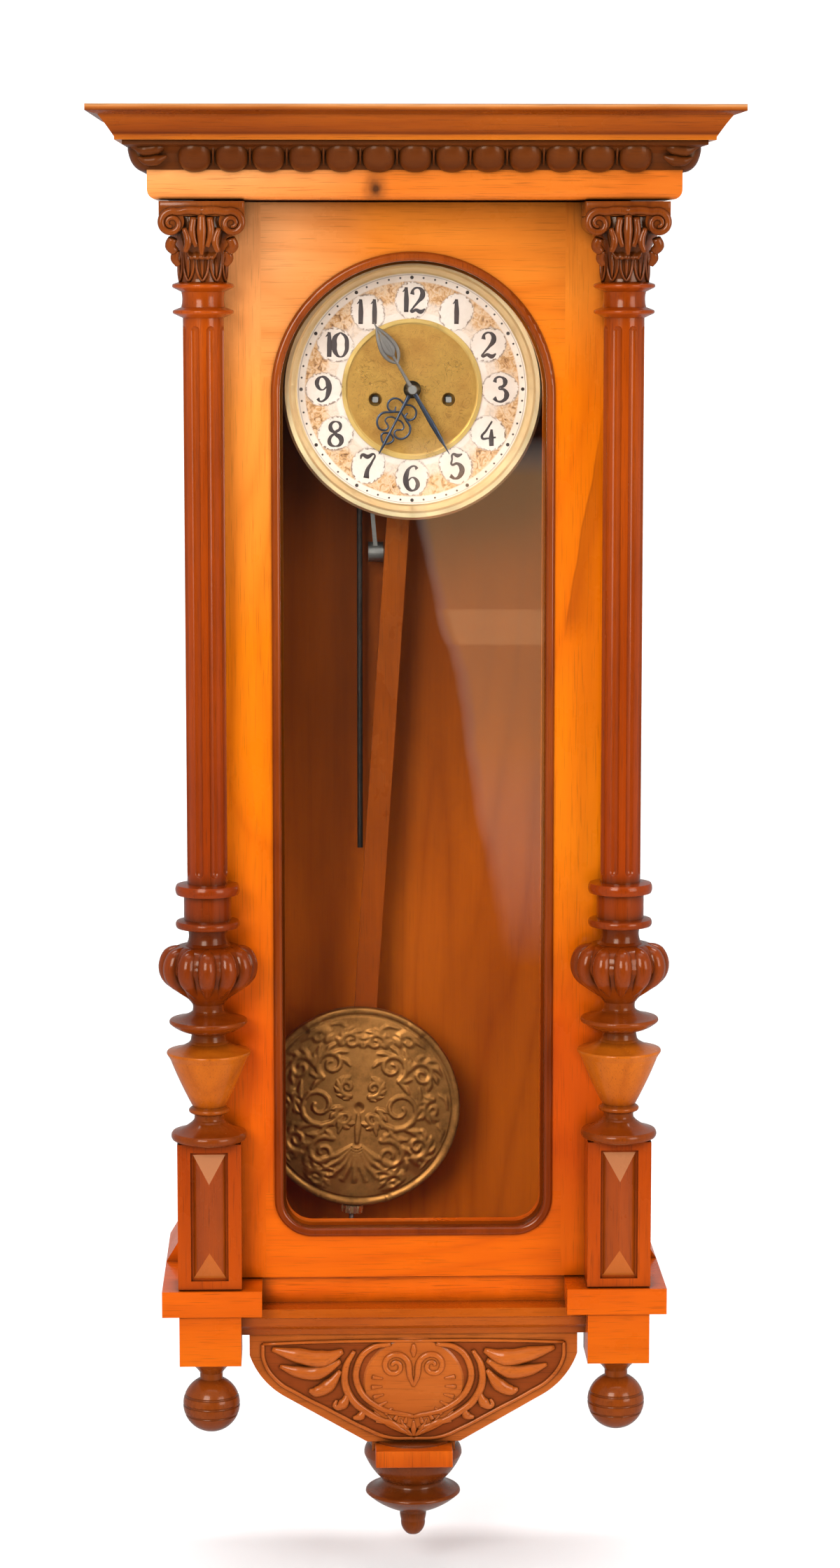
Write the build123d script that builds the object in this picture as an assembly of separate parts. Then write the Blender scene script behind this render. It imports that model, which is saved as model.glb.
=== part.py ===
from build123d import *
import os
from math import radians, sin, cos, atan2, hypot, degrees, pi

# Pendulum wall clock in a tall glazed wooden case.
# Millimetres. Z is up, the front faces -Y, the wall is the plane Y = 0.
# The origin is the centre of the hole in the steel hanger plate, at the wall.

# ---------------------------------------------------------------- case
CASE_HALF_W = 168.0        # outside of the side panels
SIDE_T = 12.0              # side panel thickness
BACK_T = 10.0              # back board thickness
CASE_D = 126.0             # wall to the back of the door
CASE_TOP_Z = 22.0          # top edge of the side panels
PLINTH_TOP_Z = -869.5      # the sides and the case floor end here
FLOOR_T = 12.0             # case floor thickness
TOP_BOARD_T = 9.0          # dust board under the cornice edge
SOFFIT_T = 9.0             # board that closes the cornice from below
INNER_HALF_W = CASE_HALF_W - SIDE_T

# ---------------------------------------------------------------- cornice
CORNICE_TOP_Z = 43.0
FRIEZE_SIDE_OUT = 32.5     # frieze outside of the case side
FRIEZE_OUT = 56.0          # frieze face in front of the door face
FRIEZE_H = 22.0            # frieze height below the carved band
BAND_H = 21.5              # carved ovolo band height
BAND_OUT = 17.5            # carved band overhang past the frieze
CROWN_H = 25.5             # crown moulding height
CROWN_OUT = 43.5           # crown overhang past the frieze
LIP_H = 4.8                # flat lip at the top of the crown
MOULD_T = 14.0             # wood behind a moulding's face

# ---------------------------------------------------------------- door
DOOR_T = 22.0
DOOR_GAP = 1.2             # door to cornice and door to plinth
DOOR_BACK_GAP = 0.3        # door to case front
GLASS_T = 2.5
GLASS_FROM_BACK = 13.7     # front face of the glass to the back of the door
OPEN_HALF_W = 109.5        # opening in the door face, outside the bead
BEAD_W = 7.0               # half-round bead round the glass
BEAD_PROUD = 3.0           # bead in front of the door face
LEDGE_W = 9.0              # rear ledge that the glass rests on
OPEN_CORNER_R = 30.0       # lower corners of the opening
DOOR_RAIL = 33.0           # bottom rail under the opening
ARCH_DROP = 3.5            # arch centre below the dial centre

# ---------------------------------------------------------------- columns
COLUMN_INSET = 8.0         # column axis inside the case side
COLUMN_OUT = 22.0          # column axis in front of the door face
SHAFT_R = 15.6
FLUTES = 8
FLUTE_R = 4.6
FLUTE_DEPTH = 2.0
CAPITAL_H = 60.0
CAPITAL_HALF_W = 32.0
ABACUS_H = 11.0
VOLUTE_R = 9.5
NECK_R = 18.0
PEDESTAL_H = 115.6
PEDESTAL_W = 49.6
PEDESTAL_OUT = 36.0        # pedestal face in front of the door face
PANEL_W, PANEL_H, PANEL_RISE = 25.2, 98.5, 9.0
PANEL_HIP = 22.0           # length of the sloping ends of the diamond panel
PANEL_SINK = 3.0

# Turned profiles: radius, drop from the point above, bulge of the run between.
UPPER_TURNING = [(22.8, 1.6, 0), (22.8, 3.0, 0.8), (16.6, 3.0, 0), (16.8, 11.5, -0.8),
                 (22.5, 2.2, 0), (22.5, 2.8, 0.8), (SHAFT_R, 3.2, 0)]
RING_TURNING = [(24.0, 1.0, 0), (24.0, 7.5, 1.0), (18.4, 1.4, 0), (18.4, 18.2, 0),
                (24.0, 1.2, 0), (24.0, 5.2, 0.9), (15.4, 2.0, 0), (16.0, 10.0, -0.9), (18.0, 2.0, 0)]
URN_TURNING = [(32.4, 13.0, 4.2), (32.6, 6.5, 0.6), (14.8, 23.7, 1.2)]
DISC_TURNING = [(12.4, 3.0, 0), (12.4, 5.5, -0.4), (14.0, 1.5, 0), (29.5, 5.2, -0.8), (29.5, 3.6, 1.0),
                (14.0, 7.0, 1.2), (13.4, 2.5, -0.3), (14.0, 3.5, 0)]
CONE_TURNING = [(15.5, 2.0, 0), (32.2, 6.5, -1.0), (32.2, 2.6, 0.5), (30.0, 3.5, 0), (12.8, 37.7, 0.6)]
CAP_TURNING = [(15.0, 1.6, 0), (15.0, 3.2, 0.8), (11.8, 1.6, 0), (11.8, 4.2, -0.3), (13.5, 2.0, 0),
               (28.4, 7.5, -1.2), (28.6, 6.0, 1.2), (24.0, 2.0, 0)]
LOWER_TURNING = RING_TURNING + URN_TURNING + DISC_TURNING + CONE_TURNING + CAP_TURNING

# ---------------------------------------------------------------- base
PLINTH_W = 78.0
PLINTH_H = 20.5
PLINTH_INSET = 9.5         # plinth block centre inside the case side
PLINTH_OUT = 39.0          # plinth face in front of the door face
RAIL_H = 27.0              # recessed rail between the plinths
RAIL_BACK = 6.0            # rail face behind the door face
MOULD_H = 24.0             # base moulding under the rail
MOULD_OUT = 17.0           # base moulding in front of the door face
FLARE_H = 64.0             # sloping side moulding above the plinth
FLARE_FRONT_Y = -92.0
DROP_W = 48.4              # square drop block
DROP_H = 40.0
DROP_INSET = 2.0           # drop block face behind the plinth face
DROP_TAPER_H = 11.0
DROP_NECK_R = 9.0
BALL_R = 22.4
BALL_GROOVE_R = 1.1
APRON_GAP = 5.8            # apron to drop block
APRON_T = 22.0
APRON_FRONT = 2.0          # apron face in front of the door face
APRON_SIDE_H = 17.0        # straight part of the apron's ends
APRON_H = 88.5
TONGUE_HALF_W = 33.0
TONGUE_H = 16.5
FINIAL_R = 39.0

# ---------------------------------------------------------------- dial and hands
DIAL_Z = -170.5
DIAL_R = 89.4              # white ring outside
DIAL_CENTRE_R = 54.5
BEZEL_W = 11.4             # bezel outside the white ring
BEZEL_DEPTH = 17.0
DIAL_PLATE_Y = -106.5      # front of the brass dial plate
DIAL_PLATE_T = 1.5
DIAL_RING_T = 2.5
INNER_RING_W = 3.0
RING_GAP = 0.1             # white ring to the brass centre
WINDING_X = 28.5
WINDING_DROP = 8.0
WINDING_HOLE_R = 5.2
HAND_T = 1.0
HOUR_HAND_Y = -117.0       # back of the hour hand
MINUTE_HAND_Y = -120.5
HOUR_ANGLE = 207.5         # clockwise from twelve
MINUTE_ANGLE = 330.0
HOUR_HAND_L = 56.0
MINUTE_HAND_L = 80.0
MINUTE_TAIL_L = 57.0

# ---------------------------------------------------------------- movement
FRONT_PLATE_Y = -94.0      # front face of the front plate
PLATE_T = 2.5
PLATE_GAP = 33.0           # between the plates
PLATE_HALF_W = 54.0
PLATE_TOP_Z = -122.0
PLATE_BOTTOM_Z = -236.0
PILLAR_R = 3.0
PILLAR_INSET = 6.0
RUN = 0.05                 # radial running clearance of every pivot
TIP_GAP = 0.12             # between the tips of two meshing wheels
BARREL_R = 24.0
BARREL_L = 18.0
GREAT_R = 27.4
WINDING_R = 3.0
CENTRE_R = 1.6             # centre arbor
CENTRE_WHEEL_R = 20.0
THIRD_WHEEL_R = 17.0
PINION_R = 2.0
ARBOR_R = 1.0
ESCAPE_R = 10.8
CANNON_R, MOTION_WHEEL_R = 4.0, 12.1
MOTION_PINION_R, HOUR_WHEEL_R = 3.2, 12.9
WHEEL_T = 1.5
PIPE_R = 3.2
MOTION_STUD_R = 1.2

# ---------------------------------------------------------------- pendulum, gong and hammer
PIVOT_Z = -133.0           # pendulum and anchor turn about this height
SWING = 3.85               # pendulum stands this far to the left, in degrees
PENDULUM_Y = -44.0
PENDULUM_L = 620.7         # pivot to the bob centre
STUD_R = 2.0
ROD_W, ROD_T = 18.0, 8.0
ROD_TOP_DROP = 24.0        # top of the wooden rod below the pivot
STRAP_W, STRAP_T = 12.0, 1.6
BOB_R = 82.5
BOB_T = 24.0
BOB_RIM_W = 7.0
CRUTCH_L = 78.0
CRUTCH_PIN_R = 1.5
RATING_R = 2.0
RATING_L = 24.0
NUT_R, NUT_H = 9.0, 6.0
GONG_X = -40.0
GONG_Y = -27.0
GONG_R = 2.2
GONG_TOP_Z = -205.0
GONG_BOTTOM_Z = -543.0
GONG_BLOCK = (28.0, 26.0, 40.0)
HAMMER_X, HAMMER_Z = -34.0, -222.0
HAMMER_HEAD_R, HAMMER_HEAD_L = 8.0, 12.0
HAMMER_HEAD_X, HAMMER_HEAD_Z = -27.0, -303.0
ARM_X, ARM_W, ARM_H = 51.0, 12.0, 12.0     # bracket arms under the plates
SEAT_DEPTH = 2.0

# ---------------------------------------------------------------- fittings
HANGER_W, HANGER_H, HANGER_T = 30.0, 40.0, 2.0
HANGER_SCREW_INSET = 5.5
HANGER_HOLE_R = 4.0
HANGER_POCKET_R = 8.0
HINGE_DROP = 203.0         # upper hinge below the door top
HINGE_RISE = 178.0         # lower hinge above the door bottom
HINGE_L = 44.0
HINGE_R = 3.2
HINGE_PIN_R = 1.5
HINGE_OUT = 4.0            # hinge axis outside the case side
LEAF_T = 1.4
LEAF_W = 16.0
HOOK_DROP = 423.0          # side hook below the door top
HOOK_REACH = 24.0
HOOK_T = 2.0
HOOK_PIN_R = 2.0
HOOK_PLAY = 0.8            # hook to pin, all round
SCREW_R, SCREW_HEAD_R = 1.8, 3.6

# ---------------------------------------------------------------- derived places
DOOR_BACK_Y = -CASE_D - DOOR_BACK_GAP
DOOR_Y = DOOR_BACK_Y - DOOR_T
FRIEZE_Y = DOOR_Y - FRIEZE_OUT
BAND_TOP_Z = CORNICE_TOP_Z - CROWN_H
FRIEZE_TOP_Z = BAND_TOP_Z - BAND_H
FRIEZE_BOTTOM_Z = FRIEZE_TOP_Z - FRIEZE_H
DOOR_TOP_Z = FRIEZE_BOTTOM_Z - DOOR_GAP
DOOR_BOTTOM_Z = PLINTH_TOP_Z + DOOR_GAP
PLINTH_BOTTOM_Z = PLINTH_TOP_Z - PLINTH_H
COLUMN_Y = DOOR_Y - COLUMN_OUT
ARCH_Z = DIAL_Z - ARCH_DROP
BACK_PLATE_Y = FRONT_PLATE_Y + PLATE_T + PLATE_GAP
BARREL_Z = DIAL_Z - WINDING_DROP
HINGE_X = CASE_HALF_W + HINGE_OUT
HINGE_Y = -CASE_D
FINIAL_Y = DOOR_Y + 18.0
FRIEZE_HALF_W = CASE_HALF_W + FRIEZE_SIDE_OUT
GLASS_Y = DOOR_BACK_Y - GLASS_FROM_BACK
OPEN_BOTTOM_Z = DOOR_BOTTOM_Z + DOOR_RAIL
COLUMN_X = CASE_HALF_W - COLUMN_INSET
PLINTH_CX = CASE_HALF_W - PLINTH_INSET
APRON_HALF_W = COLUMN_X - DROP_W / 2 - APRON_GAP
BEZEL_R = DIAL_R + BEZEL_W
HINGE_ZS = (DOOR_TOP_Z - HINGE_DROP, DOOR_BOTTOM_Z + HINGE_RISE)
HOOK_Z = DOOR_TOP_Z - HOOK_DROP


def block(x0, x1, y0, y1, z0, z1):
    """Box between two corners."""
    return Pos((x0 + x1) / 2, (y0 + y1) / 2, (z0 + z1) / 2) * Box(abs(x1 - x0), abs(y1 - y0), abs(z1 - z0))


def rod_y(x, z, y0, y1, r):
    """Round bar along Y."""
    return Pos(x, (y0 + y1) / 2, z) * Rot(90, 0, 0) * Cylinder(r, abs(y1 - y0))


def rod_x(y, z, x0, x1, r):
    """Round bar along X."""
    return Pos((x0 + x1) / 2, y, z) * Rot(0, 90, 0) * Cylinder(r, abs(x1 - x0))


def rod_z(x, y, z0, z1, r):
    """Round bar along Z."""
    return Pos(x, y, (z0 + z1) / 2) * Cylinder(r, abs(z1 - z0))


def prism_y(points, y0, y1):
    """Flat outline of (x, z) points, extruded along Y from y0 to y1."""
    face = make_face(Polyline(*[(x, y0, z) for x, z in points], close=True))
    return extrude(face, amount=y1 - y0, dir=(0, 1, 0))


def prism_x(points, x0, x1):
    """Flat outline of (y, z) points, extruded along X from x0 to x1."""
    face = make_face(Polyline(*[(x0, y, z) for y, z in points], close=True))
    return extrude(face, amount=x1 - x0, dir=(1, 0, 0))


def prism_z(points, z0, z1):
    """Flat outline of (x, y) points, extruded up from z0 to z1."""
    face = make_face(Polyline(*[(x, y, z0) for x, y in points], close=True))
    return extrude(face, amount=z1 - z0, dir=(0, 0, 1))


def turned(start_r, top_z, profile):
    """Turned solid about Z: each entry is a radius, a drop and the bulge of the run to it."""
    r, z = start_r, top_z
    edges = [Line((0, 0, z), (r, 0, z))]
    for next_r, drop, bulge in profile:
        next_z = z - drop
        if bulge:
            run = hypot(next_r - r, drop)
            mid = ((r + next_r) / 2 + bulge * drop / run, 0, (z + next_z) / 2 + bulge * (next_r - r) / run)
            edges.append(ThreePointArc((r, 0, z), mid, (next_r, 0, next_z)))
        else:
            edges.append(Line((r, 0, z), (next_r, 0, next_z)))
        r, z = next_r, next_z
    edges.append(Line((r, 0, z), (0, 0, z)))
    edges.append(Line((0, 0, z), (0, 0, top_z)))
    return revolve(make_face(Wire(edges)), axis=Axis.Z)


def height(profile):
    return sum(drop for _, drop, _ in profile)


def wrapped(profile, half_w, front_y, z_top, behind=MOULD_T):
    """Mitred moulding round the front and both sides: (offset, drop) points of its face."""
    reach = max(offset for offset, _ in profile)
    depth = [(offset, z_top - drop) for offset, drop in profile]
    face = [(-behind, depth[0][1])] + depth + [(-behind, depth[-1][1])]
    z0, z1 = depth[-1][1], depth[0][1]
    front = prism_x([(front_y - o, z) for o, z in face], -half_w - reach, half_w + reach)
    side = prism_y([(half_w + o, z) for o, z in face], front_y - reach, 0)
    far, near = reach + 1, behind + 1
    keep_front = prism_z([(-half_w - far, front_y - far), (half_w + far, front_y - far),
                          (half_w - near, front_y + near), (-half_w + near, front_y + near)], z0, z1)
    keep_side = prism_z([(half_w + far, front_y - far), (half_w + far, 1),
                         (half_w - near, 1), (half_w - near, front_y + near)], z0, z1)
    leg = side & keep_side
    return (front & keep_front) + leg + mirror(leg, about=Plane.YZ)


def wheel(x, z, r, y0, y1, teeth, tooth_h=1.1):
    """Toothed wheel about Y, its tooth tips at radius r."""
    points = []
    for i in range(teeth):
        for part, radius in ((-0.30, r - tooth_h), (-0.12, r), (0.12, r), (0.30, r - tooth_h)):
            a = 2 * pi * (i + part) / teeth
            points.append((x + radius * cos(a), z + radius * sin(a)))
    return prism_y(points, y0, y1)


def tilted(shape):
    """Turn a piece drawn hanging straight down to the pendulum's place."""
    return Pos(0, 0, PIVOT_Z) * Rot(0, SWING, 0) * Pos(0, 0, -PIVOT_Z) * shape


def clock_turn(shape, angle):
    """Turn a hand drawn pointing at twelve, clockwise as seen from the front."""
    return Pos(0, 0, DIAL_Z) * Rot(0, angle, 0) * Pos(0, 0, -DIAL_Z) * shape


def arched_face(half_w, y):
    """Outline of the glazed opening: round arch on top, rounded lower corners."""
    inset = OPEN_HALF_W - half_w
    bottom = OPEN_BOTTOM_Z + inset
    r = OPEN_CORNER_R - inset
    edges = [ThreePointArc((-half_w, y, ARCH_Z), (0, y, ARCH_Z + half_w), (half_w, y, ARCH_Z)),
             Line((half_w, y, ARCH_Z), (half_w, y, bottom + r)),
             ThreePointArc((half_w, y, bottom + r),
                           (half_w - r + r * cos(pi / 4), y, bottom + r - r * sin(pi / 4)),
                           (half_w - r, y, bottom)),
             Line((half_w - r, y, bottom), (-half_w + r, y, bottom)),
             ThreePointArc((-half_w + r, y, bottom),
                           (-half_w + r - r * cos(pi / 4), y, bottom + r - r * sin(pi / 4)),
                           (-half_w, y, bottom + r)),
             Line((-half_w, y, bottom + r), (-half_w, y, ARCH_Z))]
    return make_face(Wire(edges))


def arched(half_w, y0, y1):
    return extrude(arched_face(half_w, y0), amount=y1 - y0, dir=(0, 1, 0))


parts = {}

# ================================================================ case boards
def case_boards():
    back = block(-INNER_HALF_W, INNER_HALF_W, -BACK_T, 0, PLINTH_TOP_Z, CASE_TOP_Z)
    back -= block(-HANGER_W / 2, HANGER_W / 2, -HANGER_T, 0, -HANGER_H / 2, HANGER_H / 2)
    back -= rod_y(0, 0, -BACK_T, -HANGER_T, HANGER_POCKET_R)
    for z in (-HANGER_H / 2 + HANGER_SCREW_INSET, HANGER_H / 2 - HANGER_SCREW_INSET):
        back -= rod_y(0, z, -BACK_T, 0, SCREW_R)
    parts["back_board"] = back
    side = block(INNER_HALF_W, CASE_HALF_W, -CASE_D, 0, PLINTH_TOP_Z, CASE_TOP_Z)
    parts["side_panel_right"] = side
    parts["side_panel_left"] = mirror(side, about=Plane.YZ)
    parts["side_panel_left"] -= rod_x(-CASE_D + 10, HOOK_Z, -CASE_HALF_W, -CASE_HALF_W + 9, SCREW_R)
    floor_half = PLINTH_CX - PLINTH_W / 2
    parts["bottom_board"] = block(-floor_half, floor_half, -CASE_D, 0, PLINTH_TOP_Z - FLOOR_T, PLINTH_TOP_Z)
    inner_w, inner_y = FRIEZE_HALF_W - MOULD_T, FRIEZE_Y + MOULD_T
    top = block(-inner_w, inner_w, inner_y, 0, CASE_TOP_Z, CASE_TOP_Z + TOP_BOARD_T)
    soffit = block(-inner_w, inner_w, inner_y, 0, FRIEZE_BOTTOM_Z, FRIEZE_BOTTOM_Z + SOFFIT_T)
    soffit -= block(-CASE_HALF_W, CASE_HALF_W, -CASE_D, 0, FRIEZE_BOTTOM_Z, FRIEZE_BOTTOM_Z + SOFFIT_T)
    parts["head_boards"] = Compound([top, soffit])


def cornice():
    crown = [(CROWN_OUT, 0), (CROWN_OUT, LIP_H), (CROWN_OUT - 5, LIP_H + 1.6), (CROWN_OUT - 9, LIP_H + 2.6),
             (CROWN_OUT - 14.5, 14.5), (BAND_OUT + 5.5, CROWN_H - 2.2), (BAND_OUT + 5.5, CROWN_H)]
    parts["crown_moulding"] = wrapped(crown, FRIEZE_HALF_W, FRIEZE_Y, CORNICE_TOP_Z)
    steps = 6
    band = [(BAND_OUT, 0)]
    for i in range(1, steps + 1):
        a = pi / 2 * i / steps
        band.append((BAND_OUT * (0.75 * cos(a) + 0.25 * (1 - i / steps)) + 0.6, BAND_H * sin(a) ** 1.2))
    parts["egg_moulding"] = wrapped(band, FRIEZE_HALF_W, FRIEZE_Y, BAND_TOP_Z)
    round_r = 7.0
    edge = [(-round_r + round_r * cos(a), FRIEZE_H - round_r + round_r * sin(a))
            for a in (0, pi / 8, pi / 4, 3 * pi / 8, pi / 2)]
    parts["frieze"] = wrapped([(0, 0)] + edge, FRIEZE_HALF_W, FRIEZE_Y, FRIEZE_TOP_Z)


# ================================================================ base
def base():
    plinth_y = DOOR_Y - PLINTH_OUT
    plinth = block(PLINTH_CX - PLINTH_W / 2, PLINTH_CX + PLINTH_W / 2, plinth_y, 0, PLINTH_BOTTOM_Z, PLINTH_TOP_Z)
    edge_x = PLINTH_CX + PLINTH_W / 2
    flare = prism_y([(CASE_HALF_W, PLINTH_TOP_Z), (edge_x, PLINTH_TOP_Z),
                     (edge_x - (edge_x - CASE_HALF_W) * 0.55, PLINTH_TOP_Z + FLARE_H * 0.42),
                     (CASE_HALF_W, PLINTH_TOP_Z + FLARE_H)], FLARE_FRONT_Y, 0)
    parts["side_mouldings"] = Compound([flare, mirror(flare, about=Plane.YZ)])
    drop_y = plinth_y + DROP_INSET + DROP_W / 2
    drop_bottom = PLINTH_BOTTOM_Z - DROP_H
    drop = block(COLUMN_X - DROP_W / 2, COLUMN_X + DROP_W / 2, drop_y - DROP_W / 2, drop_y + DROP_W / 2,
                 drop_bottom, PLINTH_BOTTOM_Z)
    ball_top = drop_bottom - DROP_TAPER_H
    ball_z = ball_top - (BALL_R ** 2 - DROP_NECK_R ** 2) ** 0.5 - 5
    profile = [(DROP_NECK_R, DROP_TAPER_H, -1.5), (DROP_NECK_R, 2.5, -0.4)]
    ball = turned(DROP_W / 2 - 1, drop_bottom, profile) + rod_z(0, 0, ball_z, ball_top, DROP_NECK_R)
    ball += Pos(0, 0, ball_z) * Sphere(BALL_R)
    for dz in (7.5, 0.0, -8.0):
        r = (BALL_R ** 2 - dz ** 2) ** 0.5
        ball -= Pos(0, 0, ball_z + dz) * Torus(r + 0.3, BALL_GROOVE_R)
    ball = Pos(COLUMN_X, drop_y, 0) * ball
    for side, place in (("right", lambda s: s), ("left", lambda s: mirror(s, about=Plane.YZ))):
        parts["plinth_" + side] = place(plinth)
        parts["drop_block_" + side] = place(drop)
        parts["drop_ball_" + side] = place(ball)

    rail_half = PLINTH_CX - PLINTH_W / 2
    parts["base_rail"] = block(-rail_half, rail_half, DOOR_Y + RAIL_BACK, -CASE_D,
                               PLINTH_TOP_Z - RAIL_H, PLINTH_TOP_Z)
    # The moulding stands under the rail and the plinths, between the drop blocks.
    half = COLUMN_X - DROP_W / 2
    front = DOOR_Y - MOULD_OUT
    top = PLINTH_BOTTOM_Z
    rail_bottom = PLINTH_TOP_Z - RAIL_H
    under_rail = DOOR_Y + RAIL_BACK
    mould = prism_x([(front, top), (front, top - 7), (front + 2, top - 8), (front + 4.5, top - 15),
                     (front + 11, top - 19), (front + 13, top - MOULD_H), (-CASE_D, top - MOULD_H),
                     (-CASE_D, rail_bottom), (under_rail, rail_bottom), (under_rail, top)], -half, half)
    parts["base_moulding"] = mould


def apron_and_finial():
    top = PLINTH_BOTTOM_Z - MOULD_H
    front = DOOR_Y - APRON_FRONT
    low = top - APRON_H
    shoulder = top - APRON_SIDE_H
    arc_end = (APRON_HALF_W - 27.0, top - 50.5)
    arc_mid = (APRON_HALF_W - 7.4, top - 32.0)
    y = front
    right = [Line((APRON_HALF_W, y, top), (APRON_HALF_W, y, shoulder)),
             ThreePointArc((APRON_HALF_W, y, shoulder), (arc_mid[0], y, arc_mid[1]), (arc_end[0], y, arc_end[1])),
             Line((arc_end[0], y, arc_end[1]), (TONGUE_HALF_W + 4, y, low))]
    left = [mirror(edge, about=Plane.YZ) for edge in right]
    ends = [Line((-APRON_HALF_W, y, top), (APRON_HALF_W, y, top)),
            Line((TONGUE_HALF_W + 4, y, low), (-TONGUE_HALF_W - 4, y, low))]
    apron = extrude(make_face(Wire([e.edge() if hasattr(e, "edge") else e for e in right + left + ends])),
                    amount=APRON_T, dir=(0, 1, 0))
    tongue = block(-TONGUE_HALF_W, TONGUE_HALF_W, front + 2, front + APRON_T, low - TONGUE_H, low)
    parts["apron_board"] = apron + tongue
    profile = [(FINIAL_R - 4, 6, 0.8), (FINIAL_R, 9, 1.2), (25.3, 20, 1.4), (25.3, 3.5, -0.5),
               (36.0, 5.5, -1.2), (37.8, 2.5, 0.6), (11.5, 15, 1.8), (10.6, 2, 0), (9.6, 7, 0.3),
               (4.6, 11.5, 1.8)]
    finial = Pos(0, FINIAL_Y, 0) * turned(FINIAL_R - 6, low, profile)
    parts["centre_finial"] = finial - tongue


# ================================================================ door
def door():
    frame = block(-CASE_HALF_W, CASE_HALF_W, DOOR_Y, DOOR_BACK_Y, DOOR_BOTTOM_Z, DOOR_TOP_Z)
    ledge_half = OPEN_HALF_W - LEDGE_W
    frame -= arched(OPEN_HALF_W, DOOR_Y, GLASS_Y + GLASS_T)
    frame -= arched(ledge_half, DOOR_Y, DOOR_BACK_Y)
    parts["door_frame"] = frame
    parts["door_glass"] = arched(OPEN_HALF_W - 0.5, GLASS_Y, GLASS_Y + GLASS_T)
    bead = arched(OPEN_HALF_W, DOOR_Y - BEAD_PROUD, GLASS_Y) - arched(OPEN_HALF_W - BEAD_W, DOOR_Y - BEAD_PROUD, GLASS_Y)
    parts["door_bead"] = fillet(bead.edges().group_by(Axis.Y)[0], BEAD_W / 2 - 0.6)


def capital():
    top = DOOR_TOP_Z
    front = COLUMN_Y - CAPITAL_HALF_W
    shape = block(-CAPITAL_HALF_W, CAPITAL_HALF_W, front, DOOR_Y, top - ABACUS_H, top)
    for x in (-CAPITAL_HALF_W + VOLUTE_R, CAPITAL_HALF_W - VOLUTE_R):
        shape += rod_y(x, top - ABACUS_H - 4, front, DOOR_Y, VOLUTE_R)
    bell = [(25.0, 12.0, 0), (23.5, 6.0, 0.4), (19.0, 12.0, -1.0), (NECK_R - 0.2, CAPITAL_H - ABACUS_H - 32.0, -0.2),
            (NECK_R, 2.0, 0)]
    shape += Pos(0, COLUMN_Y, 0) * turned(27.0, top - ABACUS_H, bell)
    return shape & block(-60, 60, DOOR_Y - 90, DOOR_Y, top - 100, top)


def column():
    """Turned column: upper rings, fluted shaft, rings, urn, disc, cone and cap, flat against the door."""
    top = DOOR_TOP_Z - CAPITAL_H
    bottom = DOOR_BOTTOM_Z + PEDESTAL_H
    shaft_l = top - height(UPPER_TURNING) - height(LOWER_TURNING) - bottom
    shape = turned(NECK_R, top, UPPER_TURNING + [(SHAFT_R, shaft_l, 0)] + LOWER_TURNING)
    shaft_top = top - height(UPPER_TURNING)
    end = FLUTE_R + 5
    for i in range(FLUTES):
        a = 2 * pi * (i + 0.5) / FLUTES
        r = SHAFT_R + FLUTE_R - FLUTE_DEPTH
        x, y = r * sin(a), r * cos(a)
        z0, z1 = shaft_top - shaft_l + end, shaft_top - end
        shape -= rod_z(x, y, z0, z1, FLUTE_R)
        shape -= Pos(x, y, z0) * Sphere(FLUTE_R)
        shape -= Pos(x, y, z1) * Sphere(FLUTE_R)
    shape = Pos(0, COLUMN_Y, 0) * shape
    return shape & block(-60, 60, DOOR_Y - 90, DOOR_Y, bottom, top)


def pedestal():
    top = DOOR_BOTTOM_Z + PEDESTAL_H
    half = PEDESTAL_W / 2
    face_y = DOOR_Y - PEDESTAL_OUT
    body = block(-half, half, face_y, DOOR_Y, DOOR_BOTTOM_Z, top)
    mid = (top + DOOR_BOTTOM_Z) / 2
    sunk = (PANEL_W / 2 + 2, PANEL_H / 2 + 2)
    body -= block(-sunk[0], sunk[0], face_y, face_y + PANEL_SINK, mid - sunk[1], mid + sunk[1])
    floor_y = face_y + PANEL_SINK
    w, h = PANEL_W / 2, PANEL_H / 2
    ridge_y = floor_y - PANEL_RISE
    ridge = h - PANEL_HIP
    gable = prism_z([(-w, floor_y), (w, floor_y), (0, ridge_y)], mid - h, mid + h)
    hipped = prism_x([(floor_y, mid - h), (ridge_y, mid - ridge), (ridge_y, mid + ridge), (floor_y, mid + h)], -w, w)
    return body, gable & hipped


def door_furniture():
    cap, turning = capital(), column()
    body, panel = pedestal()
    panels = []
    for side, x in (("left", -COLUMN_X), ("right", COLUMN_X)):
        parts["capital_" + side] = Pos(x, 0, 0) * cap
        parts["column_" + side] = Pos(x, 0, 0) * turning
        parts["pedestal_" + side] = Pos(x, 0, 0) * body
        panels.append(Pos(x, 0, 0) * panel)
    parts["pedestal_panels"] = Compound(panels)


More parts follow.
